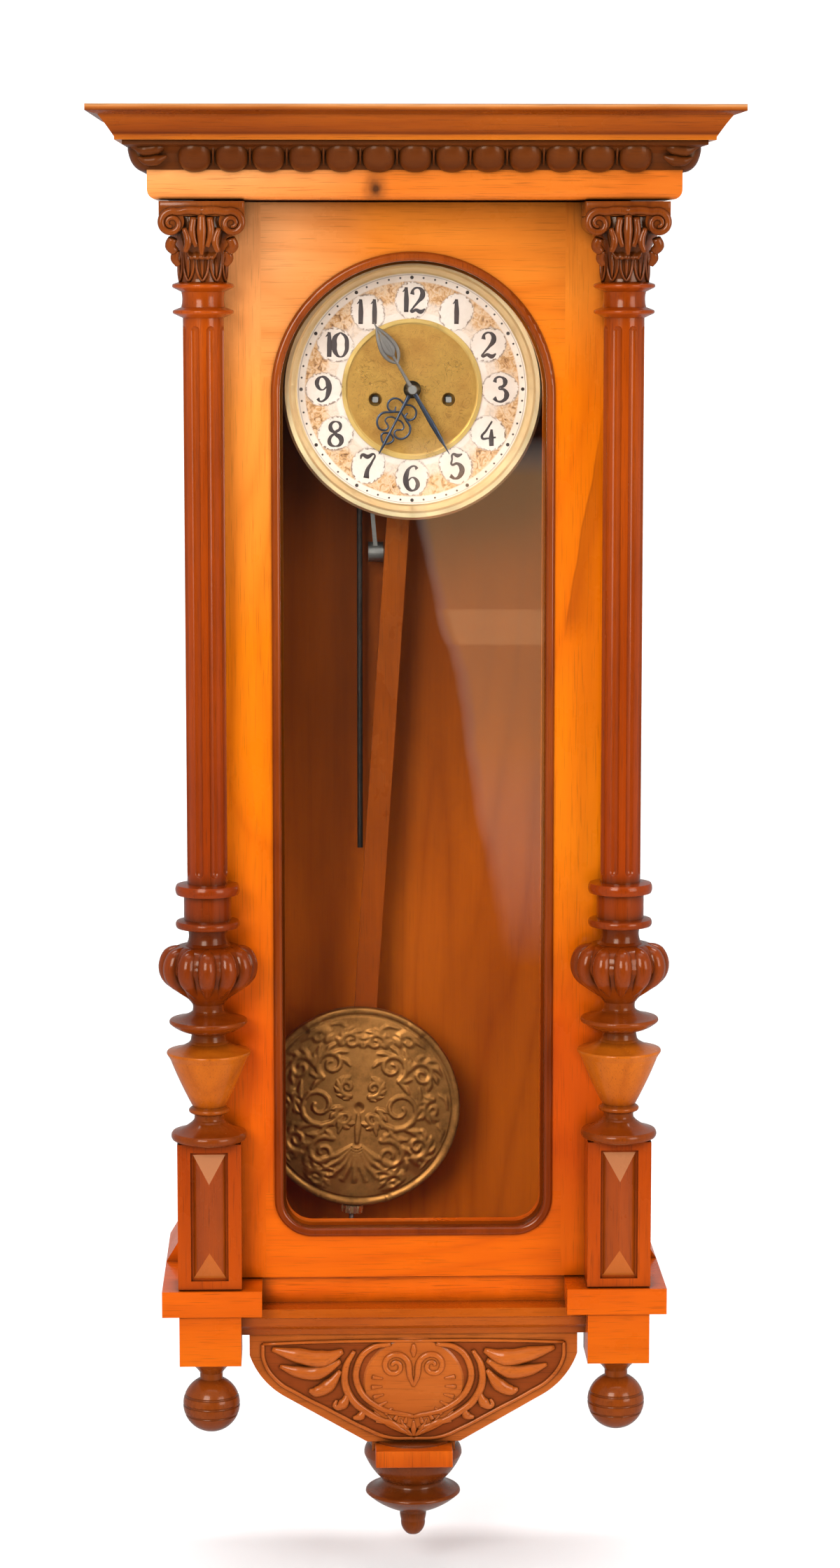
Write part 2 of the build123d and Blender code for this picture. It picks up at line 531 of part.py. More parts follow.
def hinges():
    """Two lift-off hinges on the right: the case leaf carries the pin, the door leaf hangs on it."""
    case_side, door_side = [], []
    for z in HINGE_ZS:
        low = rod_z(HINGE_X, HINGE_Y, z - HINGE_L / 2, z - 0.3, HINGE_R)
        low += rod_z(HINGE_X, HINGE_Y, z - 0.3, z + HINGE_L / 2 - 3, HINGE_PIN_R)
        low += block(CASE_HALF_W, CASE_HALF_W + LEAF_T, HINGE_Y + 1, HINGE_Y + LEAF_W, z - HINGE_L / 2, z - 0.3)
        low += block(CASE_HALF_W, HINGE_X, HINGE_Y + 1, HINGE_Y + 1 + LEAF_T, z - HINGE_L / 2, z - 0.3)
        case_side.append(low)
        up = rod_z(HINGE_X, HINGE_Y, z, z + HINGE_L / 2, HINGE_R)
        up += block(CASE_HALF_W, CASE_HALF_W + LEAF_T, DOOR_BACK_Y - LEAF_W, DOOR_BACK_Y - 1, z, z + HINGE_L / 2)
        up += block(CASE_HALF_W, HINGE_X, DOOR_BACK_Y - 1 - LEAF_T, DOOR_BACK_Y - 1, z, z + HINGE_L / 2)
        up -= rod_z(HINGE_X, HINGE_Y, z, z + HINGE_L / 2 - 2, HINGE_PIN_R + RUN)
        door_side.append(up)
    pin_y = -CASE_D + 10 - HOOK_REACH
    pin = rod_x(pin_y, HOOK_Z, -CASE_HALF_W - HOOK_T - 1.5, -CASE_HALF_W, HOOK_PIN_R)
    pin += rod_x(pin_y, HOOK_Z, -CASE_HALF_W - HOOK_T - 3, -CASE_HALF_W - HOOK_T - 1.5, HOOK_PIN_R + 1)
    parts["hinge_case_leaves"] = Compound(case_side)
    parts["door_fittings"] = Compound(door_side + [pin])


def door_hook():
    """Side hook: hangs down from its screw and turns up under the pin on the door."""
    pivot_y = -CASE_D + 10
    x1, x0 = -CASE_HALF_W - 0.4, -CASE_HALF_W - 0.4 - HOOK_T + 0.6
    arm = block(x0, x1, pivot_y - 3, pivot_y + 3, HOOK_Z - HOOK_REACH - 6, HOOK_Z)
    arm += rod_x(pivot_y, HOOK_Z, x0, x1, 5)
    slot_z = HOOK_Z - HOOK_REACH
    arm += block(x0, x1, pivot_y - 5, pivot_y + 5, slot_z - 6, slot_z + 6)
    arm -= block(x0, x1, pivot_y - 5, pivot_y, slot_z - HOOK_PIN_R - HOOK_PLAY, slot_z + HOOK_PIN_R + HOOK_PLAY)
    arm -= rod_x(pivot_y, slot_z, x0, x1, HOOK_PIN_R + HOOK_PLAY)
    arm -= rod_x(pivot_y, HOOK_Z, x0, x1, SCREW_R + RUN)
    parts["door_hook"] = arm


# ================================================================ dial and hands
def dial():
    y = DIAL_PLATE_Y
    plate = rod_y(0, DIAL_Z, y, y + DIAL_PLATE_T, BEZEL_R - 1.5)
    plate += rod_y(0, DIAL_Z, y - DIAL_RING_T - 1.6, y, DIAL_CENTRE_R) - \
        rod_y(0, DIAL_Z, y - DIAL_RING_T - 1.6, y, DIAL_CENTRE_R - INNER_RING_W)
    plate += rod_y(0, DIAL_Z, y - 1.0, y, DIAL_CENTRE_R)
    for sx in (-1, 1):
        plate -= rod_y(sx * WINDING_X, BARREL_Z, y - 2, y + DIAL_PLATE_T, WINDING_HOLE_R)
        for dz in (-32, 32):
            plate += rod_y(sx * 44, DIAL_Z + dz, y + DIAL_PLATE_T, FRONT_PLATE_Y, 2.0)
    plate -= rod_y(0, DIAL_Z, y - 2, y + DIAL_PLATE_T, PIPE_R + 0.8)
    parts["dial_centre"] = plate
    ring = rod_y(0, DIAL_Z, y - DIAL_RING_T, y, DIAL_R)
    ring -= rod_y(0, DIAL_Z, y - DIAL_RING_T, y, DIAL_CENTRE_R + RING_GAP)
    parts["dial_ring"] = ring
    front = y - BEZEL_DEPTH
    inner = DIAL_R
    section = [(inner, y), (inner, y - 3.0), (inner + 1.2, y - 4.0), (inner + 4.6, front + 1.6),
               (inner + 6.2, front), (BEZEL_R - 2.0, front), (BEZEL_R, front + 2.4), (BEZEL_R, y)]
    face = make_face(Polyline(*[(r, yy, 0) for r, yy in section], close=True))
    parts["bezel"] = Pos(0, 0, DIAL_Z) * revolve(face, axis=Axis.Y)


def hands():
    y = HOUR_HAND_Y
    z = DIAL_Z
    hour = prism_y([(-2.6, z), (-2.2, z + 16), (-8.5, z + 24), (-7.5, z + 36), (-2.4, z + 42), (-1.6, z + 50),
                    (0, z + HOUR_HAND_L), (1.6, z + 50), (2.4, z + 42), (7.5, z + 36), (8.5, z + 24),
                    (2.2, z + 16), (2.6, z)], y - HAND_T, y)
    hour += rod_y(0, z, y - HAND_T - 1, y + 1, 7.5)
    hour = clock_turn(hour, HOUR_ANGLE)
    hour_wheel_y = -101.0
    hour += rod_y(0, z, y - HAND_T - 1, hour_wheel_y + WHEEL_T, PIPE_R)
    hour += wheel(0, z, HOUR_WHEEL_R, hour_wheel_y, hour_wheel_y + WHEEL_T, 40)
    hour -= rod_y(0, z, y - HAND_T - 2, hour_wheel_y + WHEEL_T, CENTRE_R + 0.5)
    parts["hour_hand"] = hour
    y = MINUTE_HAND_Y
    minute = prism_y([(-1.6, z), (-1.4, z + 24), (-6.5, z + 34), (-5.5, z + 52), (-1.4, z + 62),
                      (0, z + MINUTE_HAND_L), (1.4, z + 62), (5.5, z + 52), (6.5, z + 34), (1.4, z + 24),
                      (1.6, z), (2.2, z - MINUTE_TAIL_L + 10), (0, z - MINUTE_TAIL_L),
                      (-2.2, z - MINUTE_TAIL_L + 10)], y - HAND_T, y)
    minute += rod_y(0, z, y - HAND_T - 0.6, y, 5.5)
    parts["minute_hand"] = clock_turn(minute, MINUTE_ANGLE) - rod_y(0, z, y - HAND_T - 1, y, CENTRE_R)


# ================================================================ movement
def at_angle(centre, distance, angle):
    return centre[0] + distance * cos(radians(angle)), centre[1] + distance * sin(radians(angle))


CENTRE = (0.0, DIAL_Z)
THIRD = at_angle(CENTRE, CENTRE_WHEEL_R + PINION_R + TIP_GAP, 60)
ANCHOR = (0.0, PIVOT_Z)
ESCAPE_FROM_ANCHOR = 17.2


def escape_place():
    """The escape arbor is one mesh distance from the third arbor and under the anchor, on its left."""
    d = THIRD_WHEEL_R + PINION_R + TIP_GAP
    dx, dz = ANCHOR[0] - THIRD[0], ANCHOR[1] - THIRD[1]
    span = hypot(dx, dz)
    along = (d ** 2 - ESCAPE_FROM_ANCHOR ** 2 + span ** 2) / (2 * span)
    off = (d ** 2 - along ** 2) ** 0.5
    return (THIRD[0] + along * dx / span - off * dz / span, THIRD[1] + along * dz / span + off * dx / span)


ESCAPE = escape_place()
MOTION = (0.0, DIAL_Z + CANNON_R + MOTION_WHEEL_R + TIP_GAP)
FRONT_IN_Y = FRONT_PLATE_Y + PLATE_T
GREAT_BACK_Y = -69.5       # rear face of the time great wheel
BARREL_FRONT_Y = GREAT_BACK_Y - WHEEL_T - BARREL_L
CENTRE_WHEEL_Y = -66.5
THIRD_WHEEL_Y = -62.5
ESCAPE_Y = -80.0


def plates():
    def plate(y):
        shape = block(-PLATE_HALF_W, PLATE_HALF_W, y, y + PLATE_T, PLATE_BOTTOM_Z, PLATE_TOP_Z)
        for (x, z), r in ((CENTRE, CENTRE_R), (THIRD, ARBOR_R), (ESCAPE, ARBOR_R), (ANCHOR, ARBOR_R),
                          ((-WINDING_X, BARREL_Z), WINDING_R), ((WINDING_X, BARREL_Z), WINDING_R),
                          ((HAMMER_X, HAMMER_Z), CRUTCH_PIN_R)):
            shape -= rod_y(x, z, y, y + PLATE_T, r + RUN)
        return shape

    front = plate(FRONT_PLATE_Y)
    front += rod_y(*MOTION, -102.5, FRONT_PLATE_Y, MOTION_STUD_R)
    parts["front_plate"] = front
    back = plate(BACK_PLATE_Y)
    for x in (-PLATE_HALF_W + PILLAR_INSET, PLATE_HALF_W - PILLAR_INSET):
        for z in (PLATE_TOP_Z - PILLAR_INSET, PLATE_BOTTOM_Z + PILLAR_INSET):
            back += rod_y(x, z, FRONT_IN_Y, BACK_PLATE_Y, PILLAR_R)
    parts["back_plate"] = back


def arbor(x, z, r=ARBOR_R, y0=FRONT_PLATE_Y, y1=BACK_PLATE_Y + PLATE_T):
    return rod_y(x, z, y0, y1, r)


def train():
    # The great wheel of the time side is behind its drum, that of the strike side in front.
    drums = {"time_barrel": (WINDING_X, GREAT_BACK_Y - WHEEL_T, BARREL_FRONT_Y),
             "strike_barrel": (-WINDING_X, BARREL_FRONT_Y - WHEEL_T, BARREL_FRONT_Y)}
    for name, (x, great_y, drum_y) in drums.items():
        drum = rod_y(x, BARREL_Z, drum_y, drum_y + BARREL_L, BARREL_R)
        drum += wheel(x, BARREL_Z, GREAT_R, great_y, great_y + WHEEL_T, 78)
        drum -= rod_y(x, BARREL_Z, BARREL_FRONT_Y - 3, GREAT_BACK_Y + 1, WINDING_R + RUN)
        parts[name] = drum
        shaft = arbor(x, BARREL_Z, WINDING_R, FRONT_PLATE_Y - 4)
        shaft += Pos(x, FRONT_PLATE_Y - 9, BARREL_Z) * Box(4.2, 14.0, 4.2)
        parts[name.replace("barrel", "winding_arbor")] = shaft

    centre = arbor(*CENTRE, CENTRE_R, MINUTE_HAND_Y - 3)
    centre += rod_y(*CENTRE, GREAT_BACK_Y - 3, GREAT_BACK_Y + 1, PINION_R)
    centre += wheel(*CENTRE, CENTRE_WHEEL_R, CENTRE_WHEEL_Y, CENTRE_WHEEL_Y + WHEEL_T, 72)
    centre += wheel(*CENTRE, CANNON_R, -97.6, -94.8, 12, 0.8)
    centre += rod_y(*CENTRE, MINUTE_HAND_Y - 4.6, MINUTE_HAND_Y - HAND_T - 0.6, 3.2)
    parts["centre_arbor"] = centre

    third = arbor(*THIRD)
    third += wheel(*THIRD, PINION_R, CENTRE_WHEEL_Y - 1, CENTRE_WHEEL_Y + WHEEL_T + 1, 8, 0.6)
    third += wheel(*THIRD, THIRD_WHEEL_R, THIRD_WHEEL_Y, THIRD_WHEEL_Y + WHEEL_T, 68)
    parts["third_wheel"] = third

    escape = arbor(*ESCAPE)
    escape += wheel(*ESCAPE, PINION_R, THIRD_WHEEL_Y - 0.8, THIRD_WHEEL_Y + WHEEL_T + 0.8, 8, 0.6)
    escape += wheel(*ESCAPE, ESCAPE_R, ESCAPE_Y, ESCAPE_Y + WHEEL_T, 30, 2.0)
    parts["escape_wheel"] = escape

    motion = wheel(*MOTION, MOTION_WHEEL_R, -97.0, -97.0 + WHEEL_T, 36)
    motion += wheel(*MOTION, MOTION_PINION_R, -101.6, -97.0, 10, 0.8)
    motion -= rod_y(*MOTION, -102, -95, MOTION_STUD_R + RUN)
    parts["motion_wheel"] = motion


def anchor():
    """Pallet anchor between the plates and the crutch behind them, on one arbor."""
    aim = degrees(atan2(ESCAPE[1] - ANCHOR[1], ESCAPE[0] - ANCHOR[0]))
    y0, y1 = ESCAPE_Y - 0.5, ESCAPE_Y + WHEEL_T + 0.5
    outline = [ANCHOR]
    for turn, reach in ((-64, 13.0), (-62, 17.5), (-54, 17.8), (-51, 14.4)):
        outline.append(at_angle(ANCHOR, reach, aim + turn))
    inner = [at_angle(ANCHOR, 3.6, aim)]
    for turn, reach in ((51, 14.4), (54, 17.8), (62, 17.5), (64, 13.0)):
        inner.append(at_angle(ANCHOR, reach, aim + turn))
    top = at_angle(ANCHOR, 4.0, aim + 180)
    pallets = prism_y([top] + outline[1:] + inner, y0, y1)
    shape = pallets + arbor(*ANCHOR)
    back = BACK_PLATE_Y + PLATE_T
    crutch_y = back + 1.0
    shape += rod_y(*ANCHOR, back, crutch_y + 2, ARBOR_R)
    crutch = block(-2.5, 2.5, crutch_y, crutch_y + 2, PIVOT_Z - CRUTCH_L - 4, PIVOT_Z + 3)
    crutch += rod_y(0, PIVOT_Z - CRUTCH_L, crutch_y, PENDULUM_Y + ROD_T / 2 + 2, CRUTCH_PIN_R)
    parts["anchor_and_crutch"] = shape + tilted(crutch)


def suspension():
    """Cock on the back plate with the stud that the pendulum hangs on."""
    back = BACK_PLATE_Y + PLATE_T
    arm_top = PLATE_TOP_Z + 10
    cock = block(-14, 14, back, back + 3, PLATE_TOP_Z - 7, arm_top)
    cock += block(-7, 7, back, PENDULUM_Y + 9, arm_top - 4, arm_top)
    cock += block(-7, 7, PENDULUM_Y + 4, PENDULUM_Y + 9, PIVOT_Z - 5, arm_top)
    cock += rod_y(0, PIVOT_Z, PENDULUM_Y - 3, PENDULUM_Y + 9, STUD_R)
    parts["suspension_cock"] = cock


def pendulum():
    top = PIVOT_Z - ROD_TOP_DROP
    bob_z = PIVOT_Z - PENDULUM_L
    rod_end = bob_z - BOB_R + 26
    y0, y1 = PENDULUM_Y - ROD_T / 2, PENDULUM_Y + ROD_T / 2
    rod = block(-ROD_W / 2, ROD_W / 2, y0, y1, rod_end, top)
    rod -= rod_y(0, PIVOT_Z - CRUTCH_L, y0, y1, CRUTCH_PIN_R + 0.15)
    rod -= block(-STRAP_W / 2, STRAP_W / 2, PENDULUM_Y - STRAP_T / 2, PENDULUM_Y + STRAP_T / 2, top - 22, top)
    strap = block(-STRAP_W / 2, STRAP_W / 2, PENDULUM_Y - STRAP_T / 2, PENDULUM_Y + STRAP_T / 2,
                  top - 22, PIVOT_Z + 4)
    strap += rod_y(0, PIVOT_Z, PENDULUM_Y - STRAP_T / 2, PENDULUM_Y + STRAP_T / 2, STRAP_W / 2)
    strap -= rod_y(0, PIVOT_Z, PENDULUM_Y - 3, PENDULUM_Y + 3, STUD_R + RUN)

    half = BOB_T / 2
    section = [(0, -half), (BOB_R - 16, -half + 2.6), (BOB_R - BOB_RIM_W - 1, -half + 5.0), (BOB_R - BOB_RIM_W, -half + 3.4),
               (BOB_R - 2, -half + 4.2), (BOB_R, -half + 7.0), (BOB_R, half - 7.0), (BOB_R - 16, half - 2.5), (0, half)]
    face = make_face(Polyline(*[(r, y, 0) for r, y in section], close=True))
    bob = Pos(0, PENDULUM_Y, bob_z) * revolve(face, axis=Axis.Y)
    bob -= block(-ROD_W / 2, ROD_W / 2, y0, y1, rod_end, bob_z + BOB_R + 1)
    bob -= rod_z(0, PENDULUM_Y, bob_z - BOB_R - 1, rod_end, RATING_R)
    screw_end = bob_z - BOB_R - RATING_L
    screw = rod_z(0, PENDULUM_Y, screw_end, rod_end, RATING_R)
    nut_top = bob_z - BOB_R - 0.3
    nut = rod_z(0, PENDULUM_Y, nut_top - NUT_H, nut_top, NUT_R)
    for i in range(12):
        a = 2 * pi * i / 12
        nut -= rod_z(NUT_R * cos(a), PENDULUM_Y + NUT_R * sin(a), nut_top - NUT_H, nut_top, 0.9)
    nut -= rod_z(0, PENDULUM_Y, nut_top - NUT_H, nut_top, RATING_R + RUN)
    parts["pendulum_rod"] = tilted(rod)
    parts["suspension_strap"] = tilted(strap)
    parts["pendulum_bob"] = tilted(bob)
    parts["rating_screw"] = tilted(screw)
    parts["rating_nut"] = tilted(nut)


def gong_and_hammer():
    w, d, h = GONG_BLOCK
    parts["gong_block"] = block(GONG_X - w / 2, GONG_X + w / 2, -BACK_T - d, -BACK_T, GONG_TOP_Z, GONG_TOP_Z + h)
    parts["gong_rod"] = rod_z(GONG_X, GONG_Y, GONG_BOTTOM_Z, GONG_TOP_Z, GONG_R)
    arm_y = GONG_Y - 4.5
    hammer = rod_y(HAMMER_X, HAMMER_Z, FRONT_PLATE_Y, arm_y + 1.5, CRUTCH_PIN_R)
    run = (HAMMER_HEAD_X - HAMMER_X, HAMMER_HEAD_Z - HAMMER_Z)
    length = hypot(*run)
    nx, nz = -run[1] / length * 1.6, run[0] / length * 1.6
    hammer += prism_y([(HAMMER_X + nx, HAMMER_Z + nz), (HAMMER_X - nx, HAMMER_Z - nz),
                       (HAMMER_HEAD_X - nx, HAMMER_HEAD_Z - nz), (HAMMER_HEAD_X + nx, HAMMER_HEAD_Z + nz)],
                      arm_y - 1.5, arm_y + 1.5)
    hammer += rod_y(HAMMER_X, HAMMER_Z, arm_y - 1.5, arm_y + 1.5, 4)
    hammer += rod_x(GONG_Y, HAMMER_HEAD_Z, HAMMER_HEAD_X - HAMMER_HEAD_L / 2, HAMMER_HEAD_X + HAMMER_HEAD_L / 2,
                    HAMMER_HEAD_R)
    parts["strike_hammer"] = hammer


def bracket():
    """Iron bracket on the back board: two arms that the movement plates stand in."""
    z1 = PLATE_BOTTOM_Z + SEAT_DEPTH
    z0 = z1 - ARM_H
    half = ARM_X + ARM_W / 2
    shape = block(-half, half, -BACK_T - 4, -BACK_T, z0 - 10, z1)
    for x in (-ARM_X, ARM_X):
        arm = block(x - ARM_W / 2, x + ARM_W / 2, FRONT_PLATE_Y - 6, -BACK_T - 4, z0, z1)
        shape += arm
    for y in (FRONT_PLATE_Y, BACK_PLATE_Y):
        shape -= block(-PLATE_HALF_W, PLATE_HALF_W, y, y + PLATE_T, PLATE_BOTTOM_Z, z1)
    parts["movement_bracket"] = shape


def hanger_and_screws():
    plate = block(-HANGER_W / 2, HANGER_W / 2, -HANGER_T, 0, -HANGER_H / 2, HANGER_H / 2)
    plate -= rod_y(0, 0, -HANGER_T, 0, HANGER_HOLE_R)
    screws = []
    for z in (-HANGER_H / 2 + HANGER_SCREW_INSET, HANGER_H / 2 - HANGER_SCREW_INSET):
        plate -= rod_y(0, z, -HANGER_T, 0, SCREW_R)
        screws.append(rod_y(0, z, -BACK_T, 0, SCREW_R))
    parts["hanger_plate"] = plate
    pivot_y = -CASE_D + 10
    outer = -CASE_HALF_W - HOOK_T - 0.4
    hook_screw = rod_x(pivot_y, HOOK_Z, outer, -CASE_HALF_W + 9, SCREW_R)
    hook_screw += rod_x(pivot_y, HOOK_Z, outer - 1.5, outer, SCREW_HEAD_R)
    screws.append(hook_screw)
    parts["case_screws"] = Compound(screws)


case_boards()
cornice()
base()
apron_and_finial()
door()
door_furniture()
hinges()
door_hook()
dial()
hands()
plates()
train()
anchor()
suspension()
pendulum()
gong_and_hammer()
bracket()
hanger_and_screws()

os.makedirs("parts", exist_ok=True)
for name, shape in parts.items():
    export_step(shape, f"parts/{name}.step")
print(len(parts), "nodes")
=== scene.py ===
import bpy, bmesh, math
import numpy as np
from math import pi, sin, cos, radians
from mathutils import Matrix, Vector


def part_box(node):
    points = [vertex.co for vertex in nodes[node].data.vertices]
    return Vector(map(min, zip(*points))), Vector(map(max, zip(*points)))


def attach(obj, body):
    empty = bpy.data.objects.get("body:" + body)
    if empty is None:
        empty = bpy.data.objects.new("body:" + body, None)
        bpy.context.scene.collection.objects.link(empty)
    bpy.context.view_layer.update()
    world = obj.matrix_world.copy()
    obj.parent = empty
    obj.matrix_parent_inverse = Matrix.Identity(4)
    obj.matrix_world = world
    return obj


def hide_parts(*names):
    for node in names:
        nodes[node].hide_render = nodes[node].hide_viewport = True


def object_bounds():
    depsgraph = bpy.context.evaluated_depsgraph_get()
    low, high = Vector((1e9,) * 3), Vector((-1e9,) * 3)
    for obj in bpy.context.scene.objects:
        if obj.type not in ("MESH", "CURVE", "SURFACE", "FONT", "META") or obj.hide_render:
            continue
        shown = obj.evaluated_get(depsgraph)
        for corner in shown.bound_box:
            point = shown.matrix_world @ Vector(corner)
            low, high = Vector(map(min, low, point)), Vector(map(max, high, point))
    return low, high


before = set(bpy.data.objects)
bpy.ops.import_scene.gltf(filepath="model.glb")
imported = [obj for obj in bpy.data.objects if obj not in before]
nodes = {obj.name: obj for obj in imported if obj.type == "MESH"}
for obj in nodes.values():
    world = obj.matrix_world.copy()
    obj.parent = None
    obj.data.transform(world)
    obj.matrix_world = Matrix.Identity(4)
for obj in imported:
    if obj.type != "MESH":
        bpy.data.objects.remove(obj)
cad_low, cad_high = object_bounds()
scene = bpy.context.scene
scene.view_settings.view_transform = "Standard"


# ---- small helpers

def paint(red, green, blue):
    """Linear colour from the three values of a paint chart, 0 to 255."""
    def one(v):
        v /= 255
        return v / 12.92 if v <= 0.04045 else ((v + 0.055) / 1.055) ** 2.4
    return one(red), one(green), one(blue), 1.0


def feed(tree, made, inputs):
    """Sets a node's inputs: a socket is linked, anything else is the input's value."""
    for socket, value in inputs.items():
        if isinstance(value, bpy.types.NodeSocket):
            tree.links.new(value, made.inputs[socket])
        else:
            made.inputs[socket].default_value = value
    return made


def put(tree, kind, inputs=None, **settings):
    """A shader node with its settings, its values and its links."""
    made = tree.nodes.new("ShaderNode" + kind)
    for name, value in settings.items():
        setattr(made, name, value)
    return feed(tree, made, inputs or {})


def blend(tree, factor, first, second, how="MIX"):
    made = put(tree, "Mix", {0: factor, 6: first, 7: second}, data_type="RGBA", blend_type=how)
    return made.outputs[2]


def math_node(tree, operation, *values, clamp=False):
    made = put(tree, "Math", dict(enumerate(values)), operation=operation)
    made.use_clamp = clamp
    return made.outputs[0]


def times(tree, *values):
    return math_node(tree, "MULTIPLY", *values)


def plus(tree, *values, clamp=False):
    return math_node(tree, "ADD", *values, clamp=clamp)


def minus(tree, *values):
    return math_node(tree, "SUBTRACT", *values)


def scaled(tree, value, scale, offset):
    """value * scale + offset."""
    return math_node(tree, "MULTIPLY_ADD", value, scale, offset)


def length(tree, a, b):
    """Length of the vector (a, b)."""
    return math_node(tree, "SQRT", plus(tree, times(tree, a, a), times(tree, b, b)))


def ramp(tree, factor, stops, how="LINEAR"):
    made = put(tree, "ValToRGB", {0: factor})
    made.color_ramp.interpolation = how
    elements = made.color_ramp.elements
    while len(elements) < len(stops):
        elements.new(0.5)
    for element, (place, colour) in zip(elements, stops):
        element.position = place
    for element, (place, colour) in zip(elements, stops):
        element.color = colour if hasattr(colour, "__len__") else (colour, colour, colour, 1)
    return made.outputs[0]


def span(tree, value, low, high, to_low=0.0, to_high=1.0, smooth=False):
    """The value mapped from one range to another, held at its ends."""
    made = put(tree, "MapRange", {0: value, 1: low, 2: high, 3: to_low, 4: to_high})
    if smooth:
        made.interpolation_type = "SMOOTHSTEP"
    return made.outputs[0]


def group(name, inputs, outputs):
    tree = bpy.data.node_groups.new(name, "ShaderNodeTree")
    for socket, kind, value in inputs:
        made = tree.interface.new_socket(socket, in_out="INPUT", socket_type="NodeSocket" + kind)
        if value is not None:
            made.default_value = value
    for socket, kind in outputs:
        tree.interface.new_socket(socket, in_out="OUTPUT", socket_type="NodeSocket" + kind)
    return tree, tree.nodes.new("NodeGroupInput").outputs, tree.nodes.new("NodeGroupOutput").inputs


def use(tree, grouped, inputs):
    return put(tree, "Group", inputs, node_tree=grouped).outputs


def material(name):
    made = bpy.data.materials.new(name)
    made.use_nodes = True
    tree = made.node_tree
    return made, tree, tree.nodes["Principled BSDF"]


def stretched(tree, vector, x, y, z):
    return put(tree, "Mapping", {"Vector": vector, "Scale": (x, y, z)}).outputs[0]


def cloudy(tree, vector, scale=1.0, detail=3.0, rough=0.5, distortion=0.0):
    return put(tree, "TexNoise", {"Vector": vector, "Scale": scale, "Detail": detail, "Roughness": rough,
                                  "Distortion": distortion}).outputs[0]


# ---- shared node groups

def make_grain_group():
    """Wood figure with its fibres along the vector's Z: tone, rings, fibres and pores."""
    tree, given, out = group("wood_grain", [("Vector", "Vector", None), ("Rings", "Float", 0.5),
                                            ("Fibres", "Float", 0.5), ("Pores", "Float", 0.4)],
                             [("Tone", "Float"), ("Pore mask", "Float"), ("Height", "Float")])
    vector = given["Vector"]
    wander = cloudy(tree, stretched(tree, vector, 7, 7, 1.0), detail=2, distortion=0.4)
    rings = math_node(tree, "PINGPONG", times(tree, wander, 13.0), 0.5)
    rings = math_node(tree, "POWER", times(tree, rings, 2.0), 2.2)
    patches = cloudy(tree, stretched(tree, vector, 13, 13, 4), detail=3, rough=0.6)
    fibres = cloudy(tree, stretched(tree, vector, 260, 260, 9), detail=5, rough=0.65)
    pores = cloudy(tree, stretched(tree, vector, 1500, 1500, 34), detail=1)
    pores = span(tree, pores, 0.6, 0.7)
    ring_part = times(tree, rings, given["Rings"])
    fibre_part = times(tree, minus(tree, fibres, 0.5), given["Fibres"])
    tone = plus(tree, times(tree, minus(tree, patches, 0.5), 1.5), 0.42)
    tone = plus(tree, tone, fibre_part)
    tone = plus(tree, tone, times(tree, ring_part, 0.45), clamp=True)
    tree.links.new(tone, out["Tone"])
    pore_mask = times(tree, pores, given["Pores"])
    tree.links.new(pore_mask, out["Pore mask"])
    height = minus(tree, times(tree, fibres, 0.5), pore_mask)
    tree.links.new(height, out["Height"])
    return tree


def make_recess_group():
    """How deep in a corner or groove a point lies: 0 on the open, 1 in a corner. The wood darkens by it as painted
    shade, together with old varnish and dirt; the metal takes its tarnish in hollows by it.
    """
    tree, given, out = group("recess", [("Reach", "Float", 0.01), ("Break up", "Vector", None)], [("Mask", "Float")])
    shade = put(tree, "AmbientOcclusion", {"Distance": given["Reach"]}, samples=6, only_local=False)
    uneven = cloudy(tree, stretched(tree, given["Break up"], 60, 60, 60), detail=3)
    open_part = plus(tree, shade.outputs["AO"], times(tree, minus(tree, uneven, 0.5), 0.25))
    tree.links.new(span(tree, open_part, 0.95, 0.35), out["Mask"])
    return tree


def make_wear_group():
    """Fine handling marks: a smudge for roughness and small scratches for height."""
    tree, given, out = group("handling", [("Vector", "Vector", None)], [("Smudge", "Float"), ("Scratches", "Float")])
    smudge = cloudy(tree, stretched(tree, given["Vector"], 16, 16, 11), detail=5, rough=0.65)
    tree.links.new(smudge, out["Smudge"])
    marks = put(tree, "TexVoronoi", {"Vector": stretched(tree, given["Vector"], 55, 55, 320), "Scale": 1.0},
                feature="DISTANCE_TO_EDGE").outputs[0]
    tree.links.new(span(tree, marks, 0.0, 0.02, 1.0, 0.0), out["Scratches"])
    return tree


GRAIN, RECESS, HANDLING = make_grain_group(), make_recess_group(), make_wear_group()
TURN = {"z": (0, 0, 0), "x": (0, radians(90), 0), "y": (radians(90), 0, 0)}


def level_rails(tree, place, along):
    """Grain that runs level on the door's rails and upright on its stiles."""
    level = put(tree, "Mapping", {"Vector": place, "Rotation": TURN["x"]}).outputs[0]
    part = put(tree, "SeparateXYZ", {0: place}).outputs
    inside = math_node(tree, "LESS_THAN", math_node(tree, "ABSOLUTE", part[0]), GLASS_HALF_W)
    rails = math_node(tree, "MAXIMUM", math_node(tree, "GREATER_THAN", part[2], RAIL_TOP_Z),
                      math_node(tree, "LESS_THAN", part[2], RAIL_LOW_Z))
    mixed = put(tree, "Mix", {0: times(tree, inside, rails), 4: along, 5: level}, data_type="VECTOR")
    return mixed.outputs[1]


